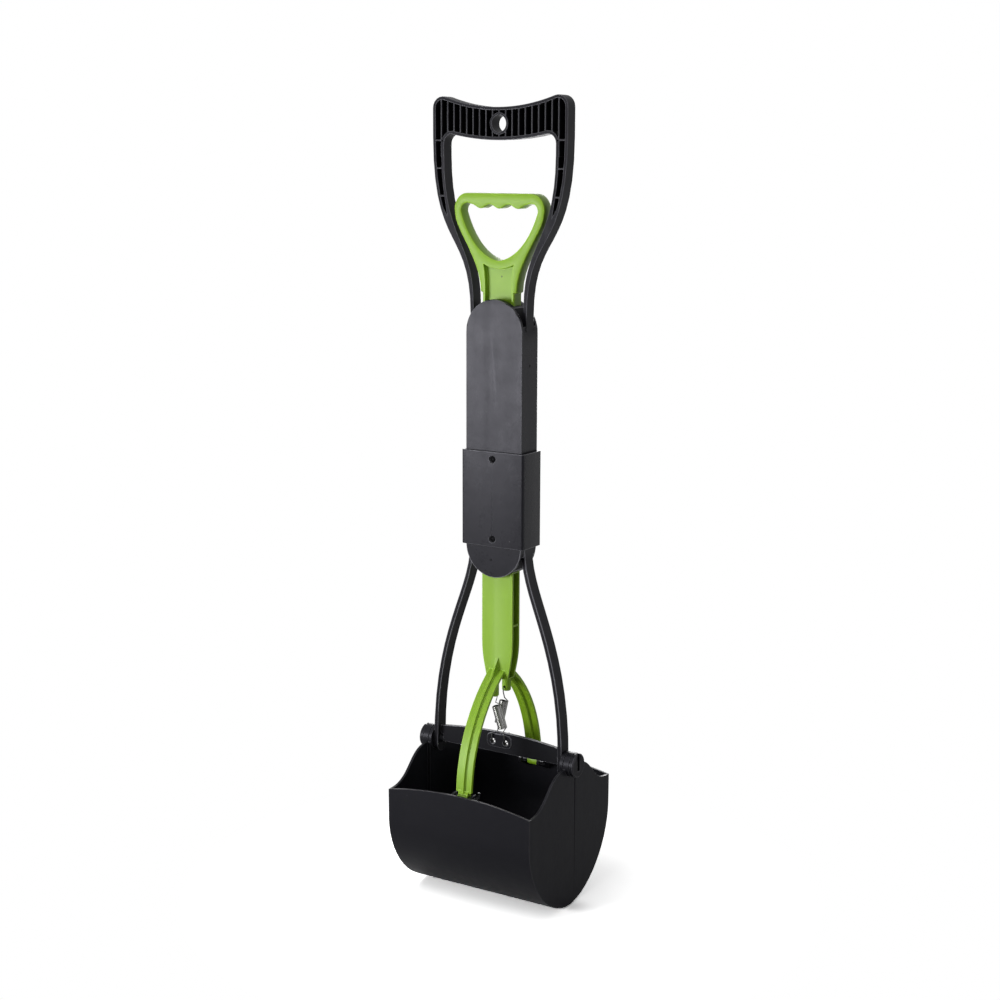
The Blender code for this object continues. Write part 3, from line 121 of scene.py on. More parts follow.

# Matt parts of the frame, whose colour is also painted darker as shade: heights over which this sets in,
# and half the depth of the arms' inner part
GRIP_MATT_AND_SHADE = (0.470, 0.485)
UPPER_ARM_MATT_AND_SHADE = (0.440, 0.450)
LOWER_ARM_MATT_AND_SHADE = (0.275, 0.285)
ARM_INNER_DEPTH = 0.0095
MATT_GAIN = 0.20
MATT_PAINTED_SHADES = (0.45, 0.65)

# Weld line on the shaft's face, between the points (x, z)
WELD_LINE_FROM = (-0.0025, 0.4483)
WELD_LINE_TO = (0.0021, 0.4007)
WELD_LINE_WIDTH = 0.0012
WELD_LINE_FOOT = (0.390, 0.415)
WELD_LINE_HEAD = (0.440, 0.455)
WELD_LINE_SHADE, WELD_LINE_SHARE = 2.2, 0.5
WELD_LINE_GLOSS, WELD_LINE_RISE = 0.05, 0.15

# Steel
SCRATCH_NOISE = (1800.0, 3.0, 0.6)
STAIN_NOISE = (160.0, 2.0, 0.5)
PIN_ROUGHNESS, SPRING_ROUGHNESS = 0.42, 0.24
STAIN_SHADES = (0.80, 1.15)
# Colour share of the painted shade inside the coils, also used on the hooks
COIL_PAINTED_SHADE = 0.22
STEEL_GLOSS = (-0.06, 0.08)
SCRATCHES = (0.00001, 0.3)
STEEL_TINT = (0.35, 0.35, 0.35, 1)

# Moulded edges
WELD = 3e-5                         # closes the cuts between neighbouring CAD faces
SLIVER = 1e-5
FLAT_ANGLE = math.radians(0.4)
EDGE_ANGLE = math.radians(34)       # edges sharper than this are rounded
EDGE_STEPS = 2
FINE_EDGES_BELOW, FINE_EDGE_SHARE = 0.135, 0.4

# Seams of the closed jaws, as distances from the middle: in the CAD, and as shown
JAWS = ("jaw_front", "jaw_rear")
MIDDLE_SEAM = (0.00015, 0.00001)
CHEEK_SEAMS = ((0.0070, 0.0070), (0.0083, 0.0071))
SEAM_REACH = 0.0001
CHEEK_FROM = 0.0625                 # beyond this the cheeks' outer skins lie
HINGE_HEIGHT = 0.117
EAR_ROOM = 0.0103                   # the outer skins are cut back this far round the other jaw's ear

# Screw heads and gate marks
SCREW_RINGS, SCREW_SIDES = 14, 48
SCREW_DOME, SCREW_DOME_POWER = 0.0010, 2.4
SCREW_SKIRT = 0.0001
SCREW_CROSS_REACH, SCREW_CROSS_HALF, SCREW_CROSS_DEPTH = 0.60, 0.00045, 0.0006
MARK_SIDES, MARK_RINGS = 20, 10
MARK_FLATNESS = 0.2
GREEN_MARK_SHADE = 0.25
SHAFT_MARK, SHAFT_MARK_RADIUS = (0.0250, 0.0002, 0.4254), 0.0011
LOWER_MARK, LOWER_MARK_RADIUS = (-0.0022, -0.0115, 0.2739), 0.0010
PANEL_MARK, PANEL_MARK_RADIUS = (0.0010, -0.0020, 0.4918), 0.0008

# Springs: the route of the CAD's wire, with the coil wound closer
WIRE_RADIUS = 0.00046
WIRE_STEPS = 2
COIL_RADIUS = 0.0033
COIL_TURNS = 22
POINTS_PER_TURN = 22
COIL_LENGTH = 0.0186
HOLE_ACROSS = 0.0059                # holes in the lower frame's boss
HOLE_HEIGHT = 0.1238
BOSS_FACE = 0.0022
POST_HEIGHT = 0.1674                # holes in the yoke's posts
POST_FACES = (0.0054, 0.0126)
HOOK_BEND = 0.0014
HOOK_REACH = 0.0018
HOOK_STEPS = 8
LOWER_TAIL = 0.0060
UPPER_TAIL = 0.0022
COIL_TOP_DROP = 0.0118
COIL_TOP_REACH = 0.0072
COIL_LEANS = {-1: (-0.0008, 0.0012), 1: (0.0003, -0.0003)}
COIL_SHADE_SPAN = (-0.6, 0.6)                # in wire radii from the coil's middle line: painted shade within, none outside
# The hooks take mostly the painted coil-shade colour, darker throughout.
HOOK_UNSHADED = 0.20

# Floor and surroundings
FLOOR_RADIUS = 6.0
FLOOR_SIDES = 96
FLOOR_HEIGHT = -0.0005
FLOOR_PAINT = (0.62, 0.62, 0.62, 1)
FLOOR_PAINT_SEEN = (2.2, 2.2, 2.2, 1)
FLOOR_FADE_SEEN = (0.10, 0.26)      # how far from the middle the floor turns white for the camera
FLOOR_FADE_MIRRORED = (0.45, 1.3)   # and in reflections
AMBIENT = 0.24
WHITE = 1.0

# Lamps: place, target, width, height, power
LAMPS = {
    "front_box": ((-0.66, -1.02, 0.335), (0, 0, 0.36), 0.60, 0.38, 14.5),
    "top_box": ((-0.45, -0.95, 2.0), (0, 0, 0.2), 1.4, 1.4, 12.0),
    "side_box": ((1.50, -0.20, 0.45), (0, 0, 0.33), 0.60, 0.60, 3.3),
    "back_box": ((-0.55, 1.35, 0.50), (0, 0, 0.33), 0.80, 0.70, 12.0),
}


# Node helpers

class Graph:
    """A small shorthand for building a material's nodes."""

    def __init__(self, name):
        self.material = bpy.data.materials.new(name)
        self.material.use_nodes = True
        self.tree = self.material.node_tree
        self.tree.nodes.clear()
        self.output = self.node("ShaderNodeOutputMaterial")

    def node(self, kind, settings=None, **inputs):
        made = self.tree.nodes.new(kind)
        for key, value in (settings or {}).items():
            setattr(made, key, value)
        for key, value in inputs.items():
            self.feed(made, key.replace("_", " "), value)
        return made

    def feed(self, node, socket, value):
        target = node.inputs[int(socket)] if socket.isdigit() else node.inputs[socket]
        if isinstance(value, bpy.types.NodeSocket):
            self.tree.links.new(value, target)
        elif isinstance(value, bpy.types.Node):
            self.tree.links.new(value.outputs[0], target)
        else:
            target.default_value = value

    def place(self):
        return self.node("ShaderNodeTexCoord").outputs["Object"]

    def stretched(self, source, scale):
        made = self.node("ShaderNodeMapping")
        self.feed(made, "Vector", source)
        made.inputs["Scale"].default_value = scale
        return made.outputs[0]

    def noise(self, source, scale, detail=2.0, roughness=0.5):
        made = self.node("ShaderNodeTexNoise")
        self.feed(made, "Vector", source)
        made.inputs["Scale"].default_value = scale
        made.inputs["Detail"].default_value = detail
        made.inputs["Roughness"].default_value = roughness
        return made.outputs["Fac"]

    def math(self, operation, a, b=0.0, clamp=False):
        made = self.node("ShaderNodeMath", {"operation": operation, "use_clamp": clamp})
        self.feed(made, "0", a)
        self.feed(made, "1", b)
        return made.outputs[0]

    def spread(self, value, low, high):
        """Maps 0..1 to low..high."""
        made = self.node("ShaderNodeMapRange")
        self.feed(made, "Value", value)
        made.inputs["To Min"].default_value = low
        made.inputs["To Max"].default_value = high
        return made.outputs[0]

    def band(self, value, start, end, low, high):
        """Goes from low to high while the value goes from start to end."""
        made = self.node("ShaderNodeMapRange")
        self.feed(made, "Value", value)
        for socket, number in zip(("From Min", "From Max", "To Min", "To Max"), (start, end, low, high)):
            made.inputs[socket].default_value = number
        return made.outputs[0]

    def axis(self, source, name):
        made = self.node("ShaderNodeSeparateXYZ")
        self.feed(made, "Vector", source)
        return made.outputs[name]

    def mix(self, share, a, b):
        made = self.node("ShaderNodeMix", {"data_type": "RGBA"})
        self.feed(made, "0", share)
        self.feed(made, "6", a)
        self.feed(made, "7", b)
        return made.outputs[2]

    def bump(self, height, distance, strength, normal=None):
        made = self.node("ShaderNodeBump")
        self.feed(made, "Height", height)
        made.inputs["Distance"].default_value = distance
        made.inputs["Strength"].default_value = strength
        if normal is not None:
            self.feed(made, "Normal", normal)
        return made.outputs[0]


def solid(colour, share=1.0):
    return tuple(c * share for c in colour) + (1.0,)


def specks(g, at, shade, share):
    """A few pale specks of dust over the shade."""
    cells = g.node("ShaderNodeTexVoronoi", {"feature": "F1"})
    g.feed(cells, "Vector", at)
    cells.inputs["Scale"].default_value = DUST_SCALE
    near = g.math("LESS_THAN", cells.outputs["Distance"], DUST_REACH)
    few = g.math("GREATER_THAN", g.noise(at, DUST_PATCHES), DUST_FROM)
    return g.mix(g.math("MULTIPLY", g.math("MULTIPLY", near, few), share), shade, DUST)


def weld_line(g, at):
    """1 on the pale line that runs down the shaft's front face, fading to 0 beside it and at its ends."""
    lean = (WELD_LINE_TO[0] - WELD_LINE_FROM[0]) / (WELD_LINE_FROM[1] - WELD_LINE_TO[1])
    line = g.node("ShaderNodeVectorMath", {"operation": "DOT_PRODUCT"})
    g.feed(line, "0", at)
    line.inputs[1].default_value = (1.0, 0.0, lean)
    place = WELD_LINE_FROM[0] + WELD_LINE_FROM[1] * lean
    off = g.math("ABSOLUTE", g.math("SUBTRACT", line.outputs["Value"], place))
    level = g.axis(at, "Z")
    front = g.math("LESS_THAN", g.axis(at, "Y"), 0.0)
    stripe = g.math("MULTIPLY", g.band(off, 0.0, WELD_LINE_WIDTH, 1.0, 0.0), front)
    foot = g.band(level, *WELD_LINE_FOOT, 0.0, 1.0)
    ends = g.math("MULTIPLY", foot, g.band(level, *WELD_LINE_HEAD, 1.0, 0.0))
    return g.math("MULTIPLY", stripe, ends)


def matt_and_shaded_parts(g, at):
    """1 on the handle and on the inner part of the arms, where the mould left a dull finish and where a
    darker colour is painted as shade.
    """
    level, depth = g.axis(at, "Z"), g.math("ABSOLUTE", g.axis(at, "Y"))
    upper = g.band(level, *UPPER_ARM_MATT_AND_SHADE, 0.0, 1.0)
    lower = g.band(level, *LOWER_ARM_MATT_AND_SHADE, 1.0, 0.0)
    inner = g.math("MULTIPLY", g.math("MAXIMUM", upper, lower), g.math("LESS_THAN", depth, ARM_INNER_DEPTH))
    return g.math("MAXIMUM", inner, g.band(level, *GRIP_MATT_AND_SHADE, 0.0, 1.0))


def plastic(name, colour, specular, roughness, mottle, grain, uneven=UNEVEN_GLOSS, dust=0.0,
            frame_marks=False):
    """Moulded plastic: satin grain, flow streaks, slow changes of tone and a few pale specks.

    With frame_marks it also has the weld line, and on the handle and the arms' inner part a duller finish
    with painted shade.
    """
    g = Graph(name)
    at = g.place()
    slow = g.noise(at, *SLOW_NOISE)
    flow = g.noise(g.stretched(at, FLOW_STRETCH), *FLOW_NOISE)
    fine = g.noise(at, *GRAIN_NOISE)
    cloud = g.noise(at, *CLOUD_NOISE)
    tone = g.math("ADD", g.math("MULTIPLY", slow, SLOW_SHARE), g.math("MULTIPLY", flow, FLOW_SHARE))
    shade = g.mix(tone, solid(colour, 1 - mottle), solid(colour, 1 + mottle))
    if dust:
        shade = specks(g, at, shade, dust)
    rough = g.math("ADD", g.spread(cloud, -CLOUD_GLOSS, CLOUD_GLOSS),
                   g.spread(tone, roughness + uneven, roughness - uneven))
    height = slow
    if frame_marks:
        stripe = weld_line(g, at)
        rough = g.math("SUBTRACT", rough, g.math("MULTIPLY", stripe, WELD_LINE_GLOSS))
        shade = g.mix(g.math("MULTIPLY", stripe, WELD_LINE_SHARE), shade, solid(colour, WELD_LINE_SHADE))
        height = g.math("ADD", slow, g.math("MULTIPLY", stripe, WELD_LINE_RISE))
        # Painted shade: the handle and the arms' inner part get rougher and also darker in colour.
        matt_shade = matt_and_shaded_parts(g, at)
        rough = g.math("ADD", rough, g.math("MULTIPLY", matt_shade, MATT_GAIN))
        shade = g.mix(matt_shade, shade, g.mix(tone, *(solid(colour, share) for share in MATT_PAINTED_SHADES)))
    waves = g.bump(height, *WAVES)
    lines = g.bump(flow, *STREAKS, waves)
    normal = g.bump(fine, GRAIN_DEPTH, grain, lines)
    shader = g.node("ShaderNodeBsdfPrincipled", None, Base_Color=shade, Roughness=rough, Normal=normal)
    shader.inputs["Specular IOR Level"].default_value = specular
    g.feed(g.output, "Surface", shader.outputs[0])
    return g, shader


def black(name, colour, **finish):
    g, shader = plastic(name, colour, **finish)
    shader.inputs["Specular Tint"].default_value = COOL
    return g.material


def green(name, colour, specular):
    g, shader = plastic(name, colour, specular, **GREEN_FINISH)
    shader.inputs["Subsurface Weight"].default_value = GREEN_DEPTH_SHARE
    shader.inputs["Subsurface Radius"].default_value = GREEN_DEPTH
    shader.inputs["Subsurface Scale"].default_value = 1.0
    return g.material


def steel(name, colour, roughness, coil_shaded=False):
    """Drawn steel: fine lines and slightly uneven gloss; for a spring, painted shade on the inside of the
    coil and a darker colour on the hooks.
    """
    g = Graph(name)
    at = g.place()
    fine = g.noise(at, *SCRATCH_NOISE)
    slow = g.noise(at, *STAIN_NOISE)
    shade = g.mix(slow, *(solid(colour, share) for share in STAIN_SHADES))
    # Painted shade inside the coil, and darker hooks, from the stored share.
    if coil_shaded:
        mark = g.node("ShaderNodeAttribute", {"attribute_name": "unshaded"})
        shade = g.mix(mark.outputs["Fac"], solid(colour, COIL_PAINTED_SHADE), shade)
    rough = g.spread(fine, *(roughness + step for step in STEEL_GLOSS))
    normal = g.bump(fine, *SCRATCHES)
    shader = g.node("ShaderNodeBsdfPrincipled", None, Base_Color=shade, Roughness=rough, Normal=normal)
    shader.inputs["Metallic"].default_value = 1.0
    shader.inputs["Specular Tint"].default_value = STEEL_TINT
    g.feed(g.output, "Surface", shader.outputs[0])
    return g.material


# Pieces

def seam_place(point):
    """How far from the middle a jaw's vertex on a seam is shown, or None where it lies on no seam."""
    seams = (MIDDLE_SEAM, *CHEEK_SEAMS) if abs(point.x) > CHEEK_FROM else (MIDDLE_SEAM,)
    for made, shown in seams:
        if abs(abs(point.y) - made) < SEAM_REACH:
            return shown
    return None


def close_seams(work):
    """Draws the edges of a jaw's seams together, keeping clear of the other jaw's ear."""
    for vertex in work.verts:
        place = seam_place(vertex.co)
        if place is None:
            continue
        reach = math.hypot(vertex.co.y, HINGE_HEIGHT - vertex.co.z)
        vertex.co.y = math.copysign(place, vertex.co.y)
        if place < reach < EAR_ROOM and vertex.co.z < HINGE_HEIGHT:
            vertex.co.z = HINGE_HEIGHT - math.sqrt(reach * reach - place * place)


def weigh_edges(work, node):
    """Marks what the bevel rounds: sharp edges, less at the lower frame's foot, not at a jaw's seams."""
    weight = work.edges.layers.float.new("bevel_weight_edge")
    for line in work.edges:
        if len(line.link_faces) == 2 and line.calc_face_angle() > EDGE_ANGLE:
            places = {seam_place(vertex.co) for vertex in line.verts}
            seam = node in JAWS and len(places) == 1 and None not in places
            fine = node == "lower_frame" and min(vertex.co.z for vertex in line.verts) < FINE_EDGES_BELOW
            line[weight] = 0 if seam else FINE_EDGE_SHARE if fine else 1
            line.smooth = not seam


def moulding(node, surface, edge_surface, edge):
    """A copy of a CAD node with its sharp edges rounded and worn glossy; on the plastics the rounds also
    take a lighter colour, a painted highlight. It stands for that node.
    """
    source = frame["nodes"][node]
    mesh = source.data.copy()
    mesh.materials.clear()
    mesh.materials.append(surface)
    mesh.materials.append(edge_surface)
    work = bmesh.new()
    work.from_mesh(mesh)
    bmesh.ops.remove_doubles(work, verts=work.verts, dist=WELD)
    bmesh.ops.dissolve_degenerate(work, dist=SLIVER, edges=work.edges)
    bmesh.ops.dissolve_limit(work, angle_limit=FLAT_ANGLE, use_dissolve_boundaries=False,
                             verts=work.verts, edges=work.edges, delimit=set())
    bmesh.ops.triangulate(work, faces=work.faces, quad_method="BEAUTY", ngon_method="BEAUTY")
    for face in work.faces:
        face.smooth = True
    weigh_edges(work, node)
    if node in JAWS:
        close_seams(work)
    work.to_mesh(mesh)
    work.free()
    if "custom_normal" in mesh.attributes:
        mesh.attributes.remove(mesh.attributes["custom_normal"])
    piece = bpy.data.objects.new("look_" + node, mesh)
    bpy.context.scene.collection.objects.link(piece)
    bevel = piece.modifiers.new("edges", "BEVEL")
    bevel.limit_method = "WEIGHT"
    bevel.width = edge
    bevel.segments = EDGE_STEPS
    bevel.use_clamp_overlap = False
    bevel.material = 1
    bevel.harden_normals = True
    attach(piece, source["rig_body"])
    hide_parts(node)


def mouldings():
    shaft = black("satin_black", BLACK, frame_marks=True, **SHAFT_FINISH)
    jaw = black("satin_black_jaw", BLACK, **JAW_FINISH)
    # Edge surfaces: glossier as rubbed, and lighter in colour, a painted highlight along the rounded edges.
    rubbed_highlight = black("rubbed_black_edge_highlight", BLACK_EDGE_HIGHLIGHT, **EDGE_FINISH)
    arm_edge_highlight = black("rubbed_arm_edge_highlight", ARM_EDGE_HIGHLIGHT, **ARM_EDGE_FINISH)
    jaw_edge_highlight = black("rubbed_jaw_edge_highlight", JAW_EDGE_HIGHLIGHT, **JAW_EDGE_FINISH)
    leaf = green("satin_green", GREEN, GREEN_SPECULAR)
    # Lighter green on the rounded edges: painted highlight.
    leaf_edge_highlight = green("rubbed_green_edge_highlight", GREEN_EDGE_HIGHLIGHT, GREEN_EDGE_SPECULAR)
    pins = steel("pin_steel", PIN_STEEL, PIN_ROUGHNESS)
    # slot, surface, surface (on the plastics lighter: painted highlight) and width of the rounded edges,
    # nodes
    plans = (
        ("black_plastic", shaft, rubbed_highlight, 0.00036, ("upper_frame",)),
        ("black_plastic", shaft, arm_edge_highlight, 0.00060, ("lower_frame",)),
        ("black_plastic", shaft, rubbed_highlight, 0.00050, ("collar_front", "collar_rear")),
        ("black_plastic", jaw, jaw_edge_highlight, 0.00024, JAWS),
        ("black_plastic", jaw, jaw_edge_highlight, 0.00040, ("hinge_pin_left", "hinge_pin_right")),
        ("green_plastic", leaf, leaf_edge_highlight, 0.00045, ("pull_handle", "slider_yoke")),
        ("dark_steel", pins, pins, 0.00020, ("link_pin_upper", "link_pin_lower")),
        ("dark_steel", pins, pins, 0.00020, ("foot_pin_front", "foot_pin_rear")),
    )
    for slot, surface, edge_surface, edge, nodes in plans:
        for node in nodes:
            moulding(node, surface, edge_surface, edge)
    head = black("black_screw", MARK, **SCREW_FINISH)
    for node in ("collar_screw_upper", "collar_screw_lower"):
        screw(node, head)


def corners(node):
    points = [vertex.co for vertex in frame["nodes"][node].data.vertices]
    low = Vector([min(point[axis] for point in points) for axis in range(3)])
    high = Vector([max(point[axis] for point in points) for axis in range(3)])
    return low, high


def screw(node, surface):
    """A domed head with a cross recess, sunk in the collar where the CAD head sits."""
    low, high = corners(node)
    radius = (high.x - low.x) / 2
    middle = (low + high) / 2
    mesh = bpy.data.meshes.new("look_" + node)
    work = bmesh.new()
    rings = [[work.verts.new((middle.x, low.y, middle.z))]]
    for ring in range(1, SCREW_RINGS + 1):
        out = radius * ring / SCREW_RINGS
        rings.append([])
        for step in range(SCREW_SIDES):
            angle = math.tau * step / SCREW_SIDES
            x, z = out * math.cos(angle), out * math.sin(angle)
            sink = SCREW_DOME * (out / radius) ** SCREW_DOME_POWER
            arm = min(abs(x + z), abs(x - z)) / math.sqrt(2)
            if out < SCREW_CROSS_REACH * radius and arm < SCREW_CROSS_HALF:
                sink += SCREW_CROSS_DEPTH
            rings[-1].append(work.verts.new((middle.x + x, low.y + sink, middle.z + z)))
    rim = low.y + SCREW_DOME + SCREW_SKIRT
    rings.append([work.verts.new((vertex.co.x, rim, vertex.co.z)) for vertex in rings[-1]])
    rings[0][0].co.y += SCREW_CROSS_DEPTH
    for step in range(SCREW_SIDES):
        after = (step + 1) % SCREW_SIDES
        work.faces.new((rings[0][0], rings[1][step], rings[1][after]))
        for inner, outer in zip(rings[1:-1], rings[2:]):
            work.faces.new((inner[step], outer[step], outer[after], inner[after]))
    work.faces.new(rings[-1])
    bmesh.ops.recalc_face_normals(work, faces=work.faces)
    for face in work.faces:
        face.smooth = len(face.verts) < 5
    work.to_mesh(mesh)
    work.free()
    mesh.materials.append(surface)
    piece = bpy.data.objects.new("look_" + node, mesh)
    bpy.context.scene.collection.objects.link(piece)
    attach(piece, frame["nodes"][node]["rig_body"])
    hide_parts(node)


def gate_marks():
    """Small round marks where the moulds were filled."""
    dark = black("gate_mark", MARK, **MARK_FINISH)
    leaf = green("green_gate_mark", solid(GREEN, GREEN_MARK_SHADE)[:3], GREEN_EDGE_SPECULAR)
    marks = (
        ("gate_mark_shaft", "frame", "black_plastic", dark, SHAFT_MARK, "X", SHAFT_MARK_RADIUS),
        ("gate_mark_lower_shaft", "frame", "black_plastic", dark, LOWER_MARK, "Y", LOWER_MARK_RADIUS),
        ("gate_mark_panel", "slider", "green_plastic", leaf, PANEL_MARK, "Y", PANEL_MARK_RADIUS),
    )
    for name, body, slot, surface, place, flat, radius in marks:
        mesh = bpy.data.meshes.new(name)
        work = bmesh.new()
        bmesh.ops.create_uvsphere(work, u_segments=MARK_SIDES, v_segments=MARK_RINGS, radius=radius)
        work.to_mesh(mesh)
        work.free()
        mesh.shade_smooth()
        mesh.materials.append(surface)
        piece = bpy.data.objects.new(name, mesh)
        piece.location = place
        piece.scale["XY".index(flat)] = MARK_FLATNESS
        bpy.context.scene.collection.objects.link(piece)
        bpy.context.view_layer.update()
        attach(piece, body)


# Springs

def hook(side, faces, level, lift, across, tail):
    """From the coil to a tail: along one face, through the hole, and up the other face."""
    near, far = faces
    out = 1 if far > near else -1
    points = [(near - out * HOOK_BEND, level + lift * (HOOK_BEND + HOOK_REACH))]
    turns = [math.pi / 2 * step / HOOK_STEPS for step in range(HOOK_STEPS + 1)]
    for turn in turns:
        height = level + lift * HOOK_BEND * (1 - math.sin(turn))
        points.append((near - out * HOOK_BEND * math.cos(turn), height))
    for turn in turns:
        points.append((far + out * HOOK_BEND * math.sin(turn), level + HOOK_BEND * (1 - math.cos(turn))))
    points.append((far + out * HOOK_BEND, level + HOOK_BEND + tail))
    return [Vector((across, side * reach, height)) for reach, height in points]


def coil(bottom, top):
    """Helix from bottom to top whose ends run in to the middle of the coil."""
    along = (top - bottom).normalized()
    first = along.orthogonal().normalized()
    second = along.cross(first)
    count = COIL_TURNS * POINTS_PER_TURN
    points = []
    for index in range(count + 1):
        angle = math.tau * index / POINTS_PER_TURN
        middle = bottom.lerp(top, index / count)
        points.append(middle + COIL_RADIUS * (math.cos(angle) * first + math.sin(angle) * second))
    run_in = 2 * WIRE_RADIUS + COIL_RADIUS / 2
    return [bottom - along * run_in] + points + [top + along * run_in]


def spring_route(side):
    """The whole wire from hook to hook, and the two ends of the coil's middle line."""
    across = -side * HOLE_ACROSS
    lean = COIL_LEANS[side]
    lower = hook(side, (BOSS_FACE, -BOSS_FACE), HOLE_HEIGHT, 1, across, LOWER_TAIL)
    upper = hook(side, POST_FACES, POST_HEIGHT, -1, 0, UPPER_TAIL)
    top_height = POST_HEIGHT - COIL_TOP_DROP
    low_height = top_height - COIL_LENGTH
    span = POST_HEIGHT - HOLE_HEIGHT
    shares = [(POST_HEIGHT - level) / span for level in (top_height, low_height)]
    slope = (COIL_TOP_REACH - BOSS_FACE - HOOK_BEND) * COIL_LENGTH / (span - COIL_TOP_DROP)
    low_reach = COIL_TOP_REACH - slope
    top = Vector((across * shares[0] + lean[0], side * COIL_TOP_REACH, top_height))
    bottom = Vector((across * shares[1] + lean[1], side * low_reach, low_height))
    return lower[::-1] + coil(bottom, top) + upper, bottom, top


def wire(points):
    """A mesh of round wire along the points."""
    curve = bpy.data.curves.new("wire", "CURVE")
    curve.dimensions = "3D"
    curve.bevel_depth = WIRE_RADIUS
    curve.bevel_resolution = WIRE_STEPS
    curve.use_fill_caps = True
    line = curve.splines.new("POLY")
    line.points.add(len(points) - 1)
    for target, point in zip(line.points, points):
        target.co = (*point, 1)
    line.use_smooth = True
    holder = bpy.data.objects.new("wire", curve)
    bpy.context.scene.collection.objects.link(holder)
    mesh = bpy.data.meshes.new_from_object(holder.evaluated_get(bpy.context.evaluated_depsgraph_get()))
    bpy.data.objects.remove(holder)
    mesh.materials.clear()
    return mesh


def paint_coil_shade(mesh, bottom, top):
    """Stores how much of the steel's own colour shows: little on the inside of the coil, where shade is
    painted, and on the hooks, which are drawn darker; fully outside.
    """
    unshaded = mesh.attributes.new("unshaded", "FLOAT", "POINT")
    run = top - bottom
    for vertex, mark in zip(mesh.vertices, unshaded.data):
        along = (vertex.co - bottom).dot(run) / run.length_squared
        out = ((vertex.co - bottom - run * along).length - COIL_RADIUS) / WIRE_RADIUS
        share = min(1, max(0, (out - COIL_SHADE_SPAN[0]) / (COIL_SHADE_SPAN[1] - COIL_SHADE_SPAN[0])))
        mark.value = share if 0 <= along <= 1 else HOOK_UNSHADED


def spring(node, side, surface):
    points, bottom, top = spring_route(side)
    mesh = wire(points)
    mesh.materials.append(surface)
    paint_coil_shade(mesh, bottom, top)
    piece = bpy.data.objects.new("look_" + node, mesh)
    bpy.context.scene.collection.objects.link(piece)
    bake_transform(piece)
    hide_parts(node)


def springs():
    surface = steel("spring_steel", STEEL, SPRING_ROUGHNESS, coil_shaded=True)
    spring("spring_front", -1, surface)
    spring("spring_rear", 1, surface)


# Floor, lamps and camera

def fade(g, distance, start, end):
    made = g.node("ShaderNodeMapRange", {"interpolation_type": "SMOOTHSTEP"})
    g.feed(made, "Value", distance)
    made.inputs["From Min"].default_value = start
    made.inputs["From Max"].default_value = end
    return made.outputs[0]


def floor():
    """Pale floor that keeps the shadow and fades into the white surroundings."""
    mesh = bpy.data.meshes.new("floor")
    work = bmesh.new()
    bmesh.ops.create_circle(work, cap_ends=True, segments=FLOOR_SIDES, radius=FLOOR_RADIUS)
    work.to_mesh(mesh)
    work.free()
    item = bpy.data.objects.new("floor", mesh)
    item.location.z = FLOOR_HEIGHT
    bpy.context.scene.collection.objects.link(item)
    g = Graph("pale_floor")
    length = g.node("ShaderNodeVectorMath", {"operation": "LENGTH"})
    g.feed(length, "0", g.place())
    distance = length.outputs["Value"]
    path = g.node("ShaderNodeLightPath")
    seen = path.outputs["Is Camera Ray"]
    mirrored = g.math("MAXIMUM", path.outputs["Is Glossy Ray"], path.outputs["Is Transmission Ray"])
    far = g.math("MAXIMUM", g.math("MULTIPLY", fade(g, distance, *FLOOR_FADE_SEEN), seen),
                 g.math("MULTIPLY", fade(g, distance, *FLOOR_FADE_MIRRORED), mirrored))
    paint = g.mix(seen, FLOOR_PAINT, FLOOR_PAINT_SEEN)
    lit = g.node("ShaderNodeBsdfDiffuse", None, Color=paint)
    white = g.node("ShaderNodeEmission")
    white.inputs["Strength"].default_value = WHITE
    blend = g.node("ShaderNodeMixShader")
    g.feed(blend, "0", far)
    g.feed(blend, "1", lit.outputs[0])
    g.feed(blend, "2", white.outputs[0])
    g.feed(g.output, "Surface", blend.outputs[0])
    mesh.materials.append(g.material)


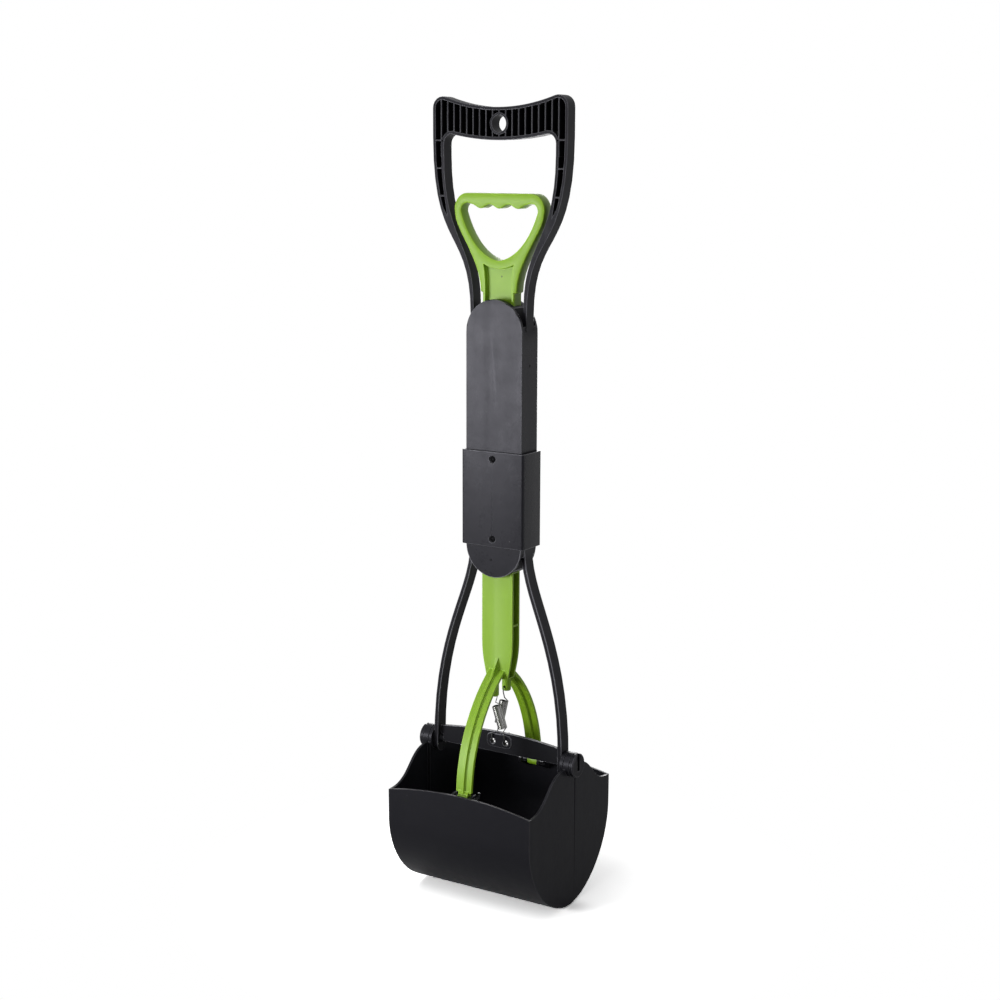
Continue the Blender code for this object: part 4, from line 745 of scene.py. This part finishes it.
def surroundings():
    """White as the camera, gloss and glass see it, and a plain grey light on everything else."""
    world = bpy.data.worlds.new("surroundings")
    bpy.context.scene.world = world
    world.use_nodes = True
    tree = world.node_tree
    tree.nodes.clear()
    path = tree.nodes.new("ShaderNodeLightPath")
    shares = [path.outputs[name] for name in ("Is Camera Ray", "Is Glossy Ray", "Is Transmission Ray")]
    seen = shares[0]
    for share in shares[1:]:
        either = tree.nodes.new("ShaderNodeMath")
        either.operation = "MAXIMUM"
        tree.links.new(seen, either.inputs[0])
        tree.links.new(share, either.inputs[1])
        seen = either.outputs[0]
    strength = tree.nodes.new("ShaderNodeMapRange")
    tree.links.new(seen, strength.inputs["Value"])
    strength.inputs["To Min"].default_value = AMBIENT
    strength.inputs["To Max"].default_value = WHITE
    back = tree.nodes.new("ShaderNodeBackground")
    back.inputs["Color"].default_value = (1, 1, 1, 1)
    tree.links.new(strength.outputs[0], back.inputs["Strength"])
    out = tree.nodes.new("ShaderNodeOutputWorld")
    tree.links.new(back.outputs[0], out.inputs["Surface"])


def softbox(name, place, target, width, height, power):
    light = bpy.data.lights.new(name, "AREA")
    light.shape = "RECTANGLE"
    light.size = width
    light.size_y = height
    light.energy = power
    item = bpy.data.objects.new(name, light)
    item.location = place
    item.rotation_mode = "QUATERNION"
    item.rotation_quaternion = (Vector(target) - Vector(place)).to_track_quat("-Z", "Y")
    bpy.context.scene.collection.objects.link(item)


def camera():
    forward = Vector((-math.sin(CAMERA_YAW) * math.cos(CAMERA_PITCH),
                      math.cos(CAMERA_YAW) * math.cos(CAMERA_PITCH), math.sin(CAMERA_PITCH)))
    level = Vector((math.cos(CAMERA_YAW), math.sin(CAMERA_YAW), 0))
    upright = level.cross(forward)
    right = level * math.cos(CAMERA_ROLL) + upright * math.sin(CAMERA_ROLL)
    up = upright * math.cos(CAMERA_ROLL) - level * math.sin(CAMERA_ROLL)
    data = bpy.data.cameras.new("camera")
    data.sensor_width = SENSOR_WIDTH
    data.lens = FOCAL_PIXELS * SENSOR_WIDTH / IMAGE_SIZE
    data.shift_x = -(PRINCIPAL_POINT[0] - IMAGE_SIZE / 2) / IMAGE_SIZE
    data.shift_y = (PRINCIPAL_POINT[1] - IMAGE_SIZE / 2) / IMAGE_SIZE
    data.clip_start, data.clip_end = CLIP_START, CLIP_END
    item = bpy.data.objects.new("camera", data)
    turn = Matrix((right, up, -forward)).transposed()
    item.matrix_world = Matrix.Translation(CAMERA_PLACE) @ turn.to_4x4()
    bpy.context.scene.collection.objects.link(item)
    bpy.context.scene.camera = item


mouldings()
gate_marks()
springs()
floor()
surroundings()
for box, settings in LAMPS.items():
    softbox(box, *settings)
camera()
bpy.context.scene.view_settings.view_transform = "Standard"
